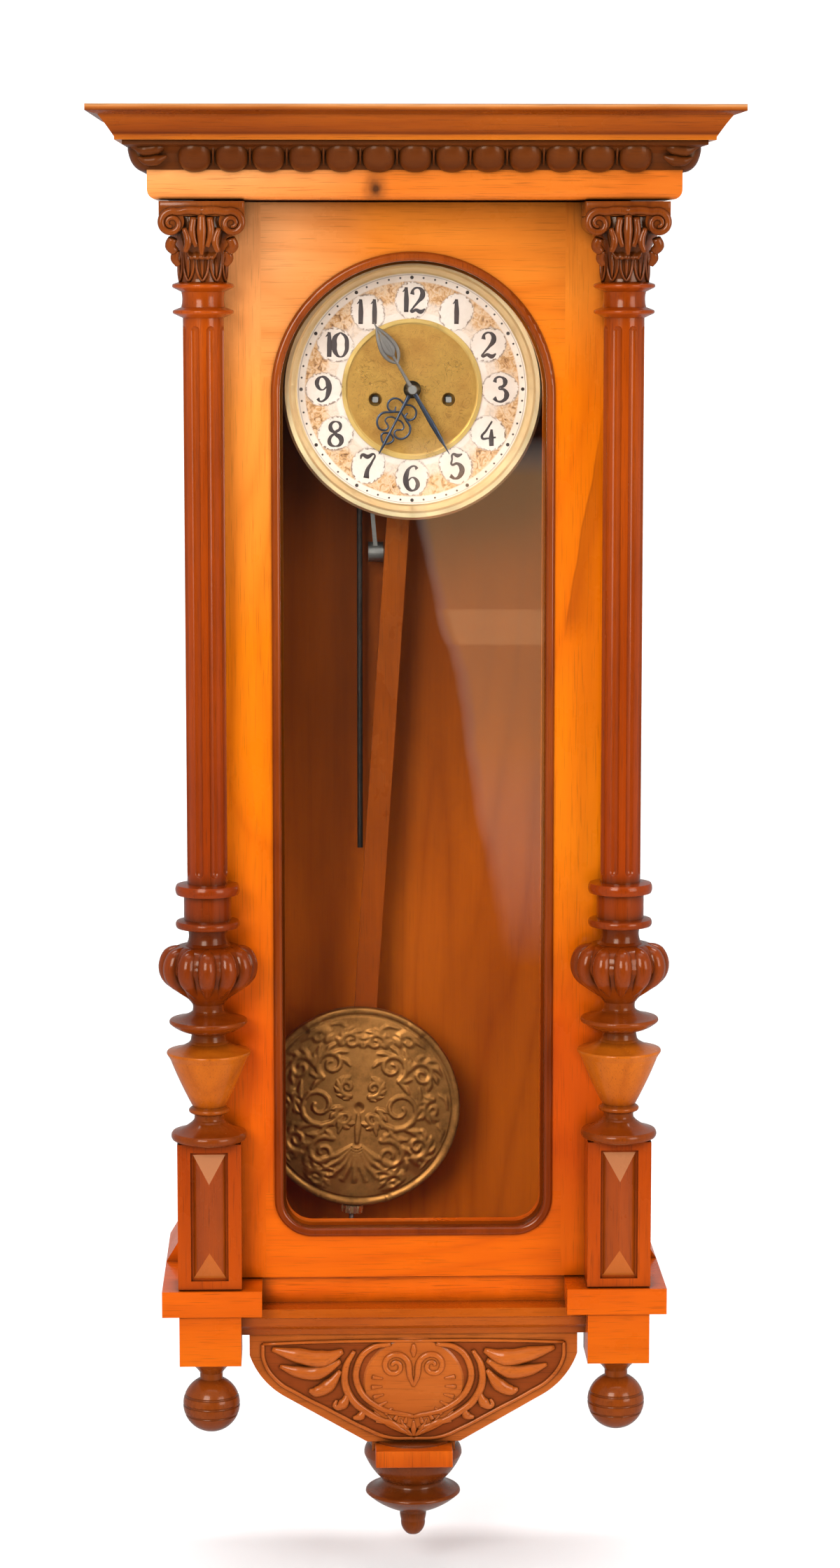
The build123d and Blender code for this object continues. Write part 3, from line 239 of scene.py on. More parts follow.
def veneer_flame(tree, part, place, colour):
    """The dark slanting edge of a flame in the veneer of the right stile, with a browner side to its right."""
    uneven = minus(tree, cloudy(tree, stretched(tree, place, 30, 30, 22), detail=2), 0.5)
    line = scaled(tree, plus(tree, part[2], 0.352), 0.17, 0.1185)
    off = minus(tree, scaled(tree, uneven, 0.006, part[0]), line)
    reach = times(tree, span(tree, part[2], -0.365, -0.345), span(tree, part[2], -0.17, -0.23))
    side = times(tree, span(tree, off, -0.0003, 0.0003), span(tree, off, 0.024, 0.002, 0.0, 0.45))
    edge = times(tree, span(tree, off, -0.0012, 0.0), span(tree, off, 0.0016, 0.0004, 0.0, 0.6))
    mask = times(tree, math_node(tree, "MAXIMUM", side, edge), reach)
    return blend(tree, mask, colour, paint(150, 62, 4))


def with_knot(tree, part, place, colour, x, z, radius):
    """A knot: a dark heart with a soft brown rim round it."""
    off = minus(tree, part[0], x)
    rise = times(tree, minus(tree, part[2], z), 0.75)
    away = length(tree, off, rise)
    uneven = minus(tree, cloudy(tree, stretched(tree, place, 160, 160, 160), detail=2), 0.5)
    away = scaled(tree, uneven, radius * 0.7, away)
    rim = span(tree, away, radius * 0.5, radius * 2.2, 0.75, 0.0, smooth=True)
    colour = blend(tree, rim, colour, paint(150, 78, 30))
    return blend(tree, span(tree, away, radius * 0.25, radius * 0.9, 0.9, 0.0), colour, paint(62, 34, 20))


def wood(name, colours, grain="z", dark=0.55, rings=0.5, fibres=0.55, pores=0.35, rough=0.28, coat=0.35,
         reach=0.012, recess=0.75, sideways=None, wander=0.16, rails=False, knot=None, relief=0.12):
    """Varnished wood. colours are (height, chart colour) from low to high; sideways is a second
    set for the right, which the door and frieze use for painted shade on that side.
    rails turns the grain level above and below the glass; knot is its (x, z, radius)."""
    made, tree, shader = material(name)
    place = put(tree, "TexCoord").outputs["Object"]
    along = put(tree, "Mapping", {"Vector": place, "Rotation": TURN[grain]}).outputs[0]
    if rails:
        along = level_rails(tree, place, along)
    figure = use(tree, GRAIN, {"Vector": along, "Rings": rings, "Fibres": fibres, "Pores": pores})
    height = put(tree, "SeparateXYZ", {0: place}).outputs

    def by_height(stops):
        low, high = stops[0][0], stops[-1][0]
        if high - low < 1e-6:
            return paint(*stops[0][1])
        uneven = minus(tree, cloudy(tree, stretched(tree, place, 9, 9, 3), detail=3), 0.5)
        level = scaled(tree, uneven, wander, height[2])
        level = span(tree, level, low, high)
        return ramp(tree, level, [((z - low) / (high - low), paint(*c)) for z, c in stops])

    colour = by_height(colours)
    if sideways:
        wobble = times(tree, minus(tree, cloudy(tree, stretched(tree, place, 5, 5, 4), detail=2), 0.5), 0.1)
        across = span(tree, plus(tree, height[0], wobble), -0.13, -0.02, smooth=True)
        colour = blend(tree, across, colour, by_height(sideways))
    deep = blend(tree, 1.0, colour, (dark, dark * 0.8, dark * 0.6, 1), "MULTIPLY")
    colour = blend(tree, figure["Tone"], colour, deep)
    colour = blend(tree, figure["Pore mask"], colour, (.05, .015, .004, 1))
    if rails:
        colour = veneer_flame(tree, height, place, colour)
    if knot:
        colour = with_knot(tree, height, place, colour, *knot)
    # painted shade: the wood darkens in corners and grooves where shade falls, with old varnish and dirt there too
    corner = use(tree, RECESS, {"Reach": reach, "Break up": place})
    colour = blend(tree, times(tree, corner["Mask"], recess), colour, (.03, .009, .002, 1))
    marks = use(tree, HANDLING, {"Vector": along})
    lines = minus(tree, figure["Height"], times(tree, marks["Scratches"], 0.3))
    feed(tree, shader, {
        "Base Color": colour, "Coat Weight": coat, "Coat Roughness": 0.12, "Specular IOR Level": 0.25,
        "Specular Tint": (1, .62, .32, 1),
        "Roughness": span(tree, marks["Smudge"], 0.3, 0.7, rough * 0.75, rough * 1.35),
        "Normal": put(tree, "Bump", {"Height": lines, "Strength": relief, "Distance": 0.0006}).outputs[0]})
    return made


def metal(name, colour, tarnish, rough=0.2, patches=0.5, scratches=0.3, recess=0.6, reach=0.004, metallic=1.0):
    """Polished or dull metal with tarnish in patches and in its recesses."""
    made, tree, shader = material(name)
    place = put(tree, "TexCoord").outputs["Object"]
    cloud = cloudy(tree, stretched(tree, place, 34, 34, 34), detail=6, rough=0.7)
    spots = span(tree, cloud, 0.42, 0.72, 0.0, patches)
    corner = use(tree, RECESS, {"Reach": reach, "Break up": place})
    mask = math_node(tree, "MAXIMUM", spots, times(tree, corner["Mask"], recess), clamp=True)
    marks = use(tree, HANDLING, {"Vector": place})
    height = times(tree, marks["Scratches"], -scratches)
    feed(tree, shader, {
        "Base Color": blend(tree, mask, colour, tarnish), "Metallic": metallic,
        "Roughness": span(tree, plus(tree, marks["Smudge"], mask), 0.2, 1.4, rough * 0.7, min(1.0, rough * 2.4)),
        "Normal": put(tree, "Bump", {"Height": height, "Strength": 0.15, "Distance": 0.0003}).outputs[0]})
    return made


# ---- finishes

LOW = cad_low.z
DIAL_Z = -0.1705             # centre of the dial
COLUMN_Y = -0.1703           # axis of both columns
GLASS_HALF_W = 0.1165        # half the door's opening
RAIL_TOP_Z, RAIL_LOW_Z = -0.16, -0.8
COVE = 0.0175                # depth of the egg band's cove
BOB_RINGS = 86               # steps of the bob's fine mesh, rim to middle
BOB_LEAN = radians(3.85)
NUMERAL_R, NUMERAL_H = 0.069, 0.0205
HOUR_TURN, MINUTE_TURN = 207.5, 330.0
PEACH, HONEY, ORANGE = (252, 176, 112), (254, 158, 66), (254, 138, 6)
AMBER, RUSSET, EMBER = (253, 128, 2), (236, 96, 3), (220, 86, 3)
FLAME, TAWNY = (236, 106, 2), (216, 122, 38)

# Paler towards the top: painted reflection of light from above on the varnish. The sideways set keeps the middle and
# right darker and browner: painted shade on the side away from the light.
door_stiles = wood("door_veneer",
    [(-0.86, FLAME), (-0.8, FLAME), (-0.66, RUSSET), (-0.52, AMBER), (-0.38, ORANGE), (-0.2, HONEY), (-0.06, PEACH)],
    sideways=[(-0.86, FLAME), (-0.79, EMBER), (-0.68, RUSSET), (-0.52, ORANGE), (-0.34, AMBER), (-0.2, AMBER),
              (-0.1, (242, 140, 44)), (-0.04, TAWNY)],
    dark=0.74, rings=0.8, fibres=0.5, pores=0.22, recess=0.55, coat=0.12, rails=True)
case_boards = wood("case_boards",
    [(-0.9, (178, 84, 4)), (-0.6, (184, 86, 5)), (-0.42, (140, 62, 3)), (0.0, (120, 52, 6))],
    dark=0.6, rings=0.8, rough=0.45, coat=0.0, recess=0.5, pores=0.15, relief=0.03)
# Bands by height: the pale band low down, the pale lip at the top and the pale band under it are painted highlights on
# faces turned up to the light; the dark bands between them are painted shade in the profile's hollows.
crown_wood = wood("crown_varnish",
    [(0.0175, (210, 118, 34)), (0.0205, (200, 104, 22)), (0.022, (118, 48, 4)), (0.025, (160, 74, 8)),
     (0.033, (178, 86, 12)), (0.0385, (128, 54, 6)), (0.0405, (196, 112, 46)), (0.0422, (230, 168, 112)),
     (0.043, (150, 76, 20))],
    grain="x", dark=0.6, recess=0.5, wander=0.0008, coat=0.15)
# The sideways set paints the middle and right darker: painted shade on the side away from the light.
frieze_wood = wood("frieze_varnish", [(-0.03, (246, 146, 66)), (0.0, (254, 176, 108))], grain="x", dark=0.78,
                   sideways=[(-0.03, (222, 116, 34)), (0.0, (232, 128, 44))], wander=0.01, coat=0.15,
                   knot=(-.03, -.018, .0062))
carved_wood = wood("carved_dark", [(-0.01, (98, 44, 10)), (0.02, (118, 56, 14))], grain="x", dark=0.5,
                   recess=0.95, reach=0.009, wander=0.004, rough=0.34, coat=0.1)
# The pale band from -0.715 to -0.678 lies on the cones below the urns: a painted highlight where they face up into the
# light.
column_wood = wood("column_varnish",
    [(-0.756, (136, 58, 10)), (-0.734, (156, 68, 10)), (-0.715, (206, 104, 16)), (-0.678, (208, 108, 20)),
     (-0.67, (150, 66, 10)), (-0.6, (134, 52, 7)), (-0.54, (160, 58, 5)), (-0.09, (182, 76, 7))],
    dark=0.55, rough=0.22, coat=0.3, recess=0.92, wander=0.006)
turned_wood = wood("turned_dark",
    [(-1.1, (132, 62, 16)), (-1.0, (126, 54, 10)), (-0.95, (158, 74, 18)), (-0.6, (146, 58, 8)),
     (-0.1, (140, 64, 14)), (0.0, (150, 74, 22))],
    dark=0.5, rough=0.22, coat=0.35, recess=0.95, wander=0.02)
pedestal_wood = wood("pedestal_varnish", [(-0.87, (196, 78, 6)), (-0.75, (180, 68, 6))], dark=0.6, wander=0.02)
panel_wood = wood("panel_varnish", [(-0.87, (176, 74, 6)), (-0.75, (168, 68, 6))], dark=0.6, wander=0.02, coat=0.5)
base_wood = wood("base_varnish", [(-0.95, (230, 110, 4)), (-0.87, (228, 98, 3))], grain="x", dark=0.7, wander=0.02)
rail_wood = wood("rail_varnish", [(-0.9, (246, 106, 3)), (-0.87, (255, 118, 4))], grain="x", dark=0.75, wander=0.01)
mould_wood = wood("moulding_varnish", [(-0.915, (180, 84, 12)), (-0.889, (198, 94, 14))], grain="x", dark=0.65,
                  wander=0.01)
apron_wood = wood("apron_varnish", [(-1.02, (186, 98, 40)), (-0.9, (206, 106, 36))], grain="x", dark=0.65,
                  wander=0.03, reach=0.006, recess=0.9)
# Brighter orange towards its top: partly the block's lighter wood, partly a painted reflection on its flat front.
tongue_wood = wood("tongue_varnish", [(-1.02, (206, 84, 8)), (-1.0, (236, 108, 12))], dark=0.5, wander=0.004)
# A darker, matt ground for the carving: painted shade of its sunk ground.
ground_wood = wood("apron_ground", [(-1.02, (140, 62, 22)), (-0.9, (158, 70, 22))], grain="x", dark=0.6,
                   wander=0.03, rough=0.5, coat=0.0)
rod_wood = wood("rod_varnish", [(-0.8, (140, 56, 4)), (-0.2, (158, 76, 14))], dark=0.5, recess=0.4)
bead_wood = wood("bead_varnish", [(-0.84, (140, 54, 8)), (-0.06, (166, 76, 20))], dark=0.5, rough=0.2, coat=0.5)


def bleach_tops(made):
    """Upward faces are painted paler and downward faces a brighter orange: painted light that makes the hips of the
    panels show, the upward faces as a painted reflection of the bright sky.
    """
    tree = made.node_tree
    base = tree.nodes["Principled BSDF"].inputs["Base Color"]
    normal = put(tree, "NewGeometry").outputs["Normal"]
    upward = put(tree, "SeparateXYZ", {0: normal}).outputs[2]
    pale = blend(tree, span(tree, upward, 0.15, 0.33, 0.0, 0.75), base.links[0].from_socket, paint(186, 122, 80))
    tree.links.new(blend(tree, span(tree, upward, -0.15, -0.33, 0.0, 0.5), pale, paint(204, 112, 44)), base)


# painted light on the panels' hips, by the way their faces look
bleach_tops(panel_wood)

bright_brass = metal("bright_brass", paint(255, 236, 190), paint(196, 150, 84), rough=0.2, patches=0.25, recess=0.4)
bezel_brass = metal("bezel_brass", paint(248, 226, 176), paint(204, 150, 76), rough=0.3, patches=0.35, recess=0.6,
                    metallic=0.92)
steel_leaf = metal("steel_leaf", paint(122, 116, 110), paint(70, 64, 58), rough=0.3, metallic=0.6)
plate_brass = metal("plate_brass", paint(226, 178, 96), paint(140, 92, 36), rough=0.3, patches=0.5)
bob_brass = metal("bob_brass", paint(170, 116, 60), paint(58, 34, 14), rough=0.36, patches=0.7, recess=0.9, reach=0.006)
blued_steel = metal("blued_steel", paint(74, 82, 98), paint(22, 24, 30), rough=0.28, patches=0.5)
plain_steel = metal("plain_steel", paint(150, 148, 142), paint(70, 62, 54), rough=0.35)
black_iron = metal("black_iron", paint(58, 52, 46), paint(30, 26, 22), rough=0.5, metallic=0.6)


def make_dial_brass():
    """Gilt centre of the dial with worn engraved scrolls and a bright rim."""
    made, tree, shader = material("dial_brass")
    place = put(tree, "TexCoord").outputs["Object"]
    radius = dial_polar(tree, place, 12)[0]
    swirl = cloudy(tree, stretched(tree, place, 75, 75, 75), detail=2, rough=0.5, distortion=2.2)
    cut = span(tree, math_node(tree, "PINGPONG", times(tree, swirl, 7.0), 0.5), 0.0, 0.13, 1.0, 0.0)
    cut = times(tree, cut, span(tree, radius, 0.0485, 0.046))
    cloud = cloudy(tree, stretched(tree, place, 26, 26, 26), detail=5, rough=0.65)
    colour = blend(tree, span(tree, cloud, 0.4, 0.72), paint(228, 178, 92), paint(166, 116, 54))
    colour = blend(tree, times(tree, cut, 0.6), colour, paint(138, 92, 42))
    colour = blend(tree, span(tree, radius, 0.05, 0.0506), colour, paint(238, 200, 120))
    bump = put(tree, "Bump", {"Height": times(tree, cut, -1.0), "Strength": 0.12, "Distance": 0.0003})
    feed(tree, shader, {"Base Color": colour, "Metallic": 0.9, "Normal": bump.outputs[0],
                        "Roughness": span(tree, cloud, 0.3, 0.7, 0.24, 0.42)})
    return made


def make_glass():
    made, tree, shader = material("door_glass")
    feed(tree, shader, {"Base Color": (.98, .99, .985, 1), "Transmission Weight": 1.0, "IOR": 1.45,
                        "Roughness": 0.0})
    clear = put(tree, "BsdfTransparent")
    lamp = put(tree, "LightPath").outputs["Is Shadow Ray"]
    mixed = put(tree, "MixShader", {0: lamp, 1: shader.outputs[0], 2: clear.outputs[0]})
    tree.links.new(mixed.outputs[0], tree.nodes["Material Output"].inputs[0])
    return made


def dial_polar(tree, place, sectors):
    """Radius from the dial's centre, and the place folded into one of equal sectors round it."""
    part = put(tree, "SeparateXYZ", {0: place}).outputs
    up = minus(tree, part[2], DIAL_Z)
    radius = length(tree, part[0], up)
    angle = math_node(tree, "ARCTAN2", part[0], up)
    sector = 2 * pi / sectors
    folded = math_node(tree, "WRAP", angle, -sector / 2, sector / 2)
    across = times(tree, radius, math_node(tree, "SINE", folded))
    along = times(tree, radius, math_node(tree, "COSINE", folded))
    return radius, across, along


def distance_to(tree, across, along, reach, squash=1.0):
    """Distance of a folded place from the point at that reach on the middle of its sector."""
    off = minus(tree, along, reach)
    wide = times(tree, across, squash)
    return length(tree, off, wide)


def make_enamel():
    """Enamel of the dial ring: white lobes for the numerals, gold clouds between them and a dotted minute track."""
    made, tree, shader = material("dial_enamel")
    place = put(tree, "TexCoord").outputs["Object"]
    stain = cloudy(tree, stretched(tree, place, 30, 30, 30), detail=5, rough=0.6)
    white = blend(tree, span(tree, stain, 0.35, 0.8), paint(228, 214, 202), paint(204, 184, 166))
    radius, across, along = dial_polar(tree, place, 12)
    swirl = cloudy(tree, stretched(tree, place, 190, 190, 190), detail=3, rough=0.6, distortion=1.5)
    lobe = distance_to(tree, across, along, 0.0685, 1.12)
    lobe = plus(tree, lobe, times(tree, minus(tree, swirl, 0.5), 0.006))
    between = span(tree, lobe, 0.0138, 0.015)
    ring_out = span(tree, radius, 0.0838, 0.0826)
    ring_in = span(tree, radius, 0.059, 0.0602)
    cloud = times(tree, between, times(tree, ring_out, ring_in))
    outer_only = span(tree, radius, 0.066, 0.07, 0.35, 1.0)
    cloud = times(tree, cloud, outer_only)
    gold = ramp(tree, swirl, [(0.3, paint(116, 78, 52)), (0.46, paint(198, 150, 98)), (0.58, paint(216, 184, 150)),
                              (0.7, paint(178, 140, 104)), (0.8, paint(232, 212, 190))])
    colour = blend(tree, cloud, white, gold)
    rim = times(tree, span(tree, lobe, 0.0134, 0.0142), span(tree, lobe, 0.0154, 0.0146))
    rim = times(tree, times(tree, rim, ring_out), span(tree, swirl, 0.42, 0.6, 0.2, 0.85))
    colour = blend(tree, rim, colour, paint(96, 70, 56))
    minute_radius, minute_across, minute_along = dial_polar(tree, place, 60)
    dots = span(tree, distance_to(tree, minute_across, minute_along, 0.0862), 0.001, 0.0006)
    fives = span(tree, distance_to(tree, across, along, 0.0862), 0.0016, 0.0012)
    line = times(tree, span(tree, radius, 0.0878, 0.0881), span(tree, radius, 0.0887, 0.0884))
    ink = math_node(tree, "MAXIMUM", math_node(tree, "MAXIMUM", dots, fives), times(tree, line, 0.5))
    colour = blend(tree, ink, colour, paint(58, 48, 44))
    feed(tree, shader, {"Base Color": colour, "Roughness": span(tree, stain, 0.3, 0.7, 0.18, 0.4)})
    return made


door_glass, enamel, dial_brass = make_glass(), make_enamel(), make_dial_brass()

FINISH = (
    (door_stiles, "door_frame"), (bead_wood, "door_bead"), (door_glass, "door_glass"), (rail_wood, "base_rail"),
    (mould_wood, "base_moulding"), (apron_wood, "apron_board"), (crown_wood, "crown_moulding"),
    (carved_wood, "egg_moulding"), (frieze_wood, "frieze"), (panel_wood, "pedestal_panels"),
    (rod_wood, "pendulum_rod"), (bob_brass, "pendulum_bob"), (enamel, "dial_ring"), (dial_brass, "dial_centre"),
    (bezel_brass, "bezel"),
    (case_boards, "back_board side_panel_left side_panel_right bottom_board head_boards gong_block"),
    (base_wood, "side_mouldings plinth_left plinth_right drop_block_left drop_block_right"),
    (column_wood, "column_left column_right"),
    (turned_wood, "capital_left capital_right drop_ball_left drop_ball_right centre_finial"),
    (pedestal_wood, "pedestal_left pedestal_right"),
    (plate_brass, "front_plate back_plate time_barrel strike_barrel third_wheel escape_wheel motion_wheel "
                  "suspension_cock"),
    (plain_steel, "centre_arbor time_winding_arbor strike_winding_arbor anchor_and_crutch suspension_strap "
                  "rating_screw strike_hammer hanger_plate case_screws"),
    (bright_brass, "rating_nut door_hook door_fittings hinge_case_leaves"),
    (blued_steel, "hour_hand minute_hand"),
    (black_iron, "gong_rod movement_bracket"),
)
for finish, names in FINISH:
    for name in names.split():
        mesh = nodes[name].data
        mesh.materials.clear()
        mesh.materials.append(finish)


# ---- camera, light and floor

def verts_of(geom):
    return [v for v in geom if isinstance(v, bmesh.types.BMVert)]


def edges_of(geom):
    return [e for e in geom if isinstance(e, bmesh.types.BMEdge)]


def aim(thing, target):
    thing.rotation_mode = "QUATERNION"
    thing.rotation_quaternion = (Vector(target) - thing.location).to_track_quat("-Z", "Y")


camera = bpy.data.objects.new("camera", bpy.data.cameras.new("camera"))
scene.collection.objects.link(camera)
camera.location = (-.0785, -3.147, -.07)
camera.rotation_euler = (radians(90 - 7.69), 0, -radians(1.598))
camera.data.lens = 89.3
camera.data.sensor_width = 36
scene.camera = camera


def lamp(name, place, target, size, power, colour=(1, 1, 1)):
    made = bpy.data.objects.new(name, bpy.data.lights.new(name, "AREA"))
    scene.collection.objects.link(made)
    made.location = place
    aim(made, target)
    made.data.shape = "RECTANGLE"
    made.data.size, made.data.size_y = size
    made.data.energy = power
    made.data.color = colour
    return made


lamp("key_light", (-1.35, -3.2, .9), (0, -.1, -.45), (1.5, 1.8), 84)
lamp("fill_light", (2.2, -2.4, .2), (0, -.1, -.5), (1.4, 1.8), 40)
lamp("top_light", (0, -.9, 2.2), (0, -.1, 0), (2.2, 1.4), 14)
lamp("backdrop_light", (0, .6, 2.6), (0, 2.2, -.6), (4.0, .8), 90)

world = bpy.data.worlds.new("studio")
scene.world = world
world.use_nodes = True


def light_world():
    """Soft white light all round, dim behind the camera, with one pale patch that the door's glass mirrors."""
    tree = world.node_tree
    way = put(tree, "SeparateXYZ", {0: put(tree, "TexCoord").outputs["Generated"]}).outputs
    behind = span(tree, way[1], -0.93, -0.75, 0.03, 0.42, smooth=True)
    wander = cloudy(tree, put(tree, "TexCoord").outputs["Generated"], scale=22, detail=3)
    slope = scaled(tree, plus(tree, way[2], 0.066), 0.19, way[0])
    edge = scaled(tree, minus(tree, wander, 0.5), 0.01, slope)
    across = times(tree, span(tree, edge, 0.027, 0.031), span(tree, way[0], 0.085, 0.075))
    down = times(tree, span(tree, way[2], -0.045, -0.055), span(tree, way[2], -0.18, -0.125))
    sill = times(tree, span(tree, way[2], -0.089, -0.0895), span(tree, way[2], -0.0985, -0.098))
    down = times(tree, down, scaled(tree, sill, 0.5, 1.0))
    patch = times(tree, times(tree, across, down), span(tree, way[1], -0.9, -0.95))
    strength = plus(tree, behind, times(tree, patch, 2.3))
    tree.links.new(blend(tree, patch, (1, 1, 1, 1), (1, .56, .27, 1)), tree.nodes["Background"].inputs[0])
    tree.links.new(strength, tree.nodes["Background"].inputs[1])


light_world()


def make_backdrop():
    """Pale floor that sweeps up into a pale wall far behind; from behind or below it can be seen through."""
    floor_z, back_y, sweep = LOW - 0.03, 2.4, 0.9
    bm = bmesh.new()
    start = [bm.verts.new((x, -5.0, floor_z)) for x in (-6, 6)]
    edge = [bm.edges.new(start)]

    def push(vector):
        made = bmesh.ops.extrude_edge_only(bm, edges=edge)["geom"]
        bmesh.ops.translate(bm, verts=verts_of(made), vec=vector)
        edge[0] = edges_of(made)[0]

    push((0, 5.0 + back_y - sweep, 0))
    steps = 24
    for i in range(steps):
        a, b = pi / 2 * i / steps, pi / 2 * (i + 1) / steps
        push((0, sweep * (sin(b) - sin(a)), sweep * (cos(a) - cos(b))))
    push((0, 0, 4.0))
    bmesh.ops.recalc_face_normals(bm, faces=bm.faces)
    bm.faces.ensure_lookup_table()
    if bm.faces[0].normal.z < 0:
        bmesh.ops.reverse_faces(bm, faces=bm.faces)
    mesh = bpy.data.meshes.new("backdrop")
    bm.to_mesh(mesh)
    bm.free()
    mesh.polygons.foreach_set("use_smooth", [True] * len(mesh.polygons))
    made = bpy.data.objects.new("backdrop", mesh)
    scene.collection.objects.link(made)
    paper, tree, shader = material("backdrop_paper")
    feed(tree, shader, {"Base Color": (.93, .93, .93, 1), "Roughness": 0.9, "Specular IOR Level": 0.1})
    away = put(tree, "NewGeometry").outputs["Backfacing"]
    mixed = put(tree, "MixShader", {0: away, 1: shader.outputs[0], 2: put(tree, "BsdfTransparent").outputs[0]})
    tree.links.new(mixed.outputs[0], tree.nodes["Material Output"].inputs[0])
    mesh.materials.append(paper)
    made.visible_glossy = made.visible_transmission = False


make_backdrop()

# ---- pieces built here

def keep(name, bm, finish, body, smooth=True, stands_for=()):
    """Turns a bmesh into a finished piece that rides on a body."""
    bmesh.ops.remove_doubles(bm, verts=bm.verts, dist=1e-6)
    bmesh.ops.recalc_face_normals(bm, faces=bm.faces)
    mesh = bpy.data.meshes.new(name)
    bm.to_mesh(mesh)
    bm.free()
    mesh.polygons.foreach_set("use_smooth", [smooth] * len(mesh.polygons))
    mesh.materials.append(finish)
    made = bpy.data.objects.new(name, mesh)
    scene.collection.objects.link(made)
    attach(made, body)
    if stands_for:
        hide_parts(*stands_for)
    return made


def strokes_mesh(lines, flat=1.0, sides=3, steps=6, ends=True):
    """A bmesh of carved or cut strokes in the XZ plane: each line is points of (x, z, half width), in metres.
    flat squashes the round section along Y."""
    curve = bpy.data.curves.new("stroke", "CURVE")
    curve.dimensions = "3D"
    curve.resolution_u = steps
    curve.bevel_depth = 1.0
    curve.bevel_resolution = sides
    curve.use_fill_caps = ends
    for line in lines:
        spline = curve.splines.new("BEZIER")
        spline.bezier_points.add(len(line) - 1)
        for point, place in zip(spline.bezier_points, line):
            point.co = (place[0], place[3] if len(place) > 3 else 0.0, place[1])
            point.radius = place[2]
            point.handle_left_type = point.handle_right_type = "AUTO"
    holder = bpy.data.objects.new("stroke", curve)
    mesh = bpy.data.meshes.new_from_object(holder)
    bm = bmesh.new()
    bm.from_mesh(mesh)
    bpy.data.objects.remove(holder)
    bpy.data.curves.remove(curve)
    bpy.data.meshes.remove(mesh)
    if flat != 1.0:
        bmesh.ops.scale(bm, vec=(1, flat, 1), verts=bm.verts)
    return bm


def placed(bm, place=(0, 0, 0), turn=None, scale=None):
    if scale:
        bmesh.ops.scale(bm, vec=scale, verts=bm.verts)
    if turn:
        bmesh.ops.rotate(bm, cent=(0, 0, 0), matrix=turn, verts=bm.verts)
    bmesh.ops.translate(bm, vec=place, verts=bm.verts)
    return bm


def added(whole, part, matrix=None):
    """Puts a copy of one bmesh into another."""
    mesh = bpy.data.meshes.new("part")
    part.to_mesh(mesh)
    if matrix:
        mesh.transform(matrix)
        if matrix.determinant() < 0:
            mesh.flip_normals()
    whole.from_mesh(mesh)
    bpy.data.meshes.remove(mesh)
    return whole


def both_sides(lines):
    """The strokes and their mirror images across X = 0."""
    return lines + [[(-p[0], *p[1:]) for p in line] for line in lines]


def spiral(x, z, outer, inner, start, turns, wide, narrow, steps=14):
    """Points of a spiral that winds in to (x, z), its width going from wide to narrow. Angles in degrees."""
    made = []
    for i in range(steps + 1):
        t = i / steps
        r = outer + (inner - outer) * t ** 0.8
        a = radians(start + 360 * turns * t)
        made.append((x + r * cos(a), z + r * sin(a), wide + (narrow - wide) * t))
    return made


# ---- carved egg moulding

def make_eggs():
    """The egg band: a deep cove round three sides with a row of eggs and thin darts standing in it."""
    low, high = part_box("egg_moulding")
    half, front, back, bottom, top = high.x, low.y, high.y, low.z, high.z
    bm = bmesh.new()
    cove = [(0, 0), (.001, 0), (.0012, .0025), (.0022, .006), (.006, .012), (.012, .0165),
            (COVE, 0.0182), (COVE, 0.0215)]
    inner = half - COVE
    loops = []
    for out, rise in cove:
        reach = inner + out
        ring = [(-reach, back), (-reach, front + COVE - out), (reach, front + COVE - out), (reach, back)]
        loops.append([bm.verts.new((x, y, bottom + rise)) for x, y in ring])
    for lower, upper in zip(loops, loops[1:]):
        for i in range(4):
            j = (i + 1) % 4
            bmesh.ops.contextual_create(bm, geom=[lower[i], lower[j], upper[j], upper[i]])
    bmesh.ops.contextual_create(bm, geom=loops[0])
    bmesh.ops.contextual_create(bm, geom=loops[-1])
    keep("egg_band", bm, carved_wood, "case", smooth=False, stands_for=["egg_moulding"])
    egg = bmesh.new()
    bmesh.ops.create_uvsphere(egg, u_segments=22, v_segments=14, radius=1.0)
    for v in egg.verts:
        t = math.copysign(abs(v.co.z) ** 0.8, v.co.z)
        across = math.copysign(abs(v.co.x) ** 0.85, v.co.x)
        v.co = (across * 0.0127, v.co.y * 0.0092 - 0.0035 * t, t * 0.0122)
    dart = bmesh.new()
    bmesh.ops.create_cone(dart, segments=8, radius1=0.0006, radius2=0.0014, depth=0.018, cap_ends=True)
    placed(dart, turn=Matrix.Rotation(radians(20), 3, "X"))
    pitch, count, side_count = 0.0274, 13, 7
    middle = (bottom + top) / 2 + 0.0002
    bm = bmesh.new()
    for i in range(count):
        along = (i - (count - 1) / 2) * pitch
        added(bm, egg, Matrix.Translation((along, front + 0.0132, middle - 0.0006)))
        if i:
            added(bm, dart, Matrix.Translation((along - pitch / 2, front + 0.0092, middle + 0.001)))
    for side in (-1, 1):
        turn = Matrix.Rotation(radians(90 * side), 4, "Z")
        for i in range(side_count):
            along = front + 0.025 + i * pitch
            added(bm, egg, Matrix.Translation((side * (half - 0.0132), along, middle - 0.0006)) @ turn)
            added(bm, dart, Matrix.Translation((side * (half - 0.0092), along + pitch / 2, middle + 0.001)) @ turn)
    leaf = both_sides([
        [(.1845, .0085, .0012), (.1925, .005, .0052), (.202, .0035, .005), (.2105, .006, .0014)],
        [(.185, -.001, .0012), (.193, -.004, .0042), (.201, -.0045, .0036), (.2065, -.002, .001)]])
    leaves = strokes_mesh(leaf, flat=0.9, sides=3, steps=6)
    added(bm, leaves, Matrix.Translation((0, front + 0.0085, middle)))
    leaves.free()
    keep("carved_eggs", bm, carved_wood, "case")


# ---- capitals

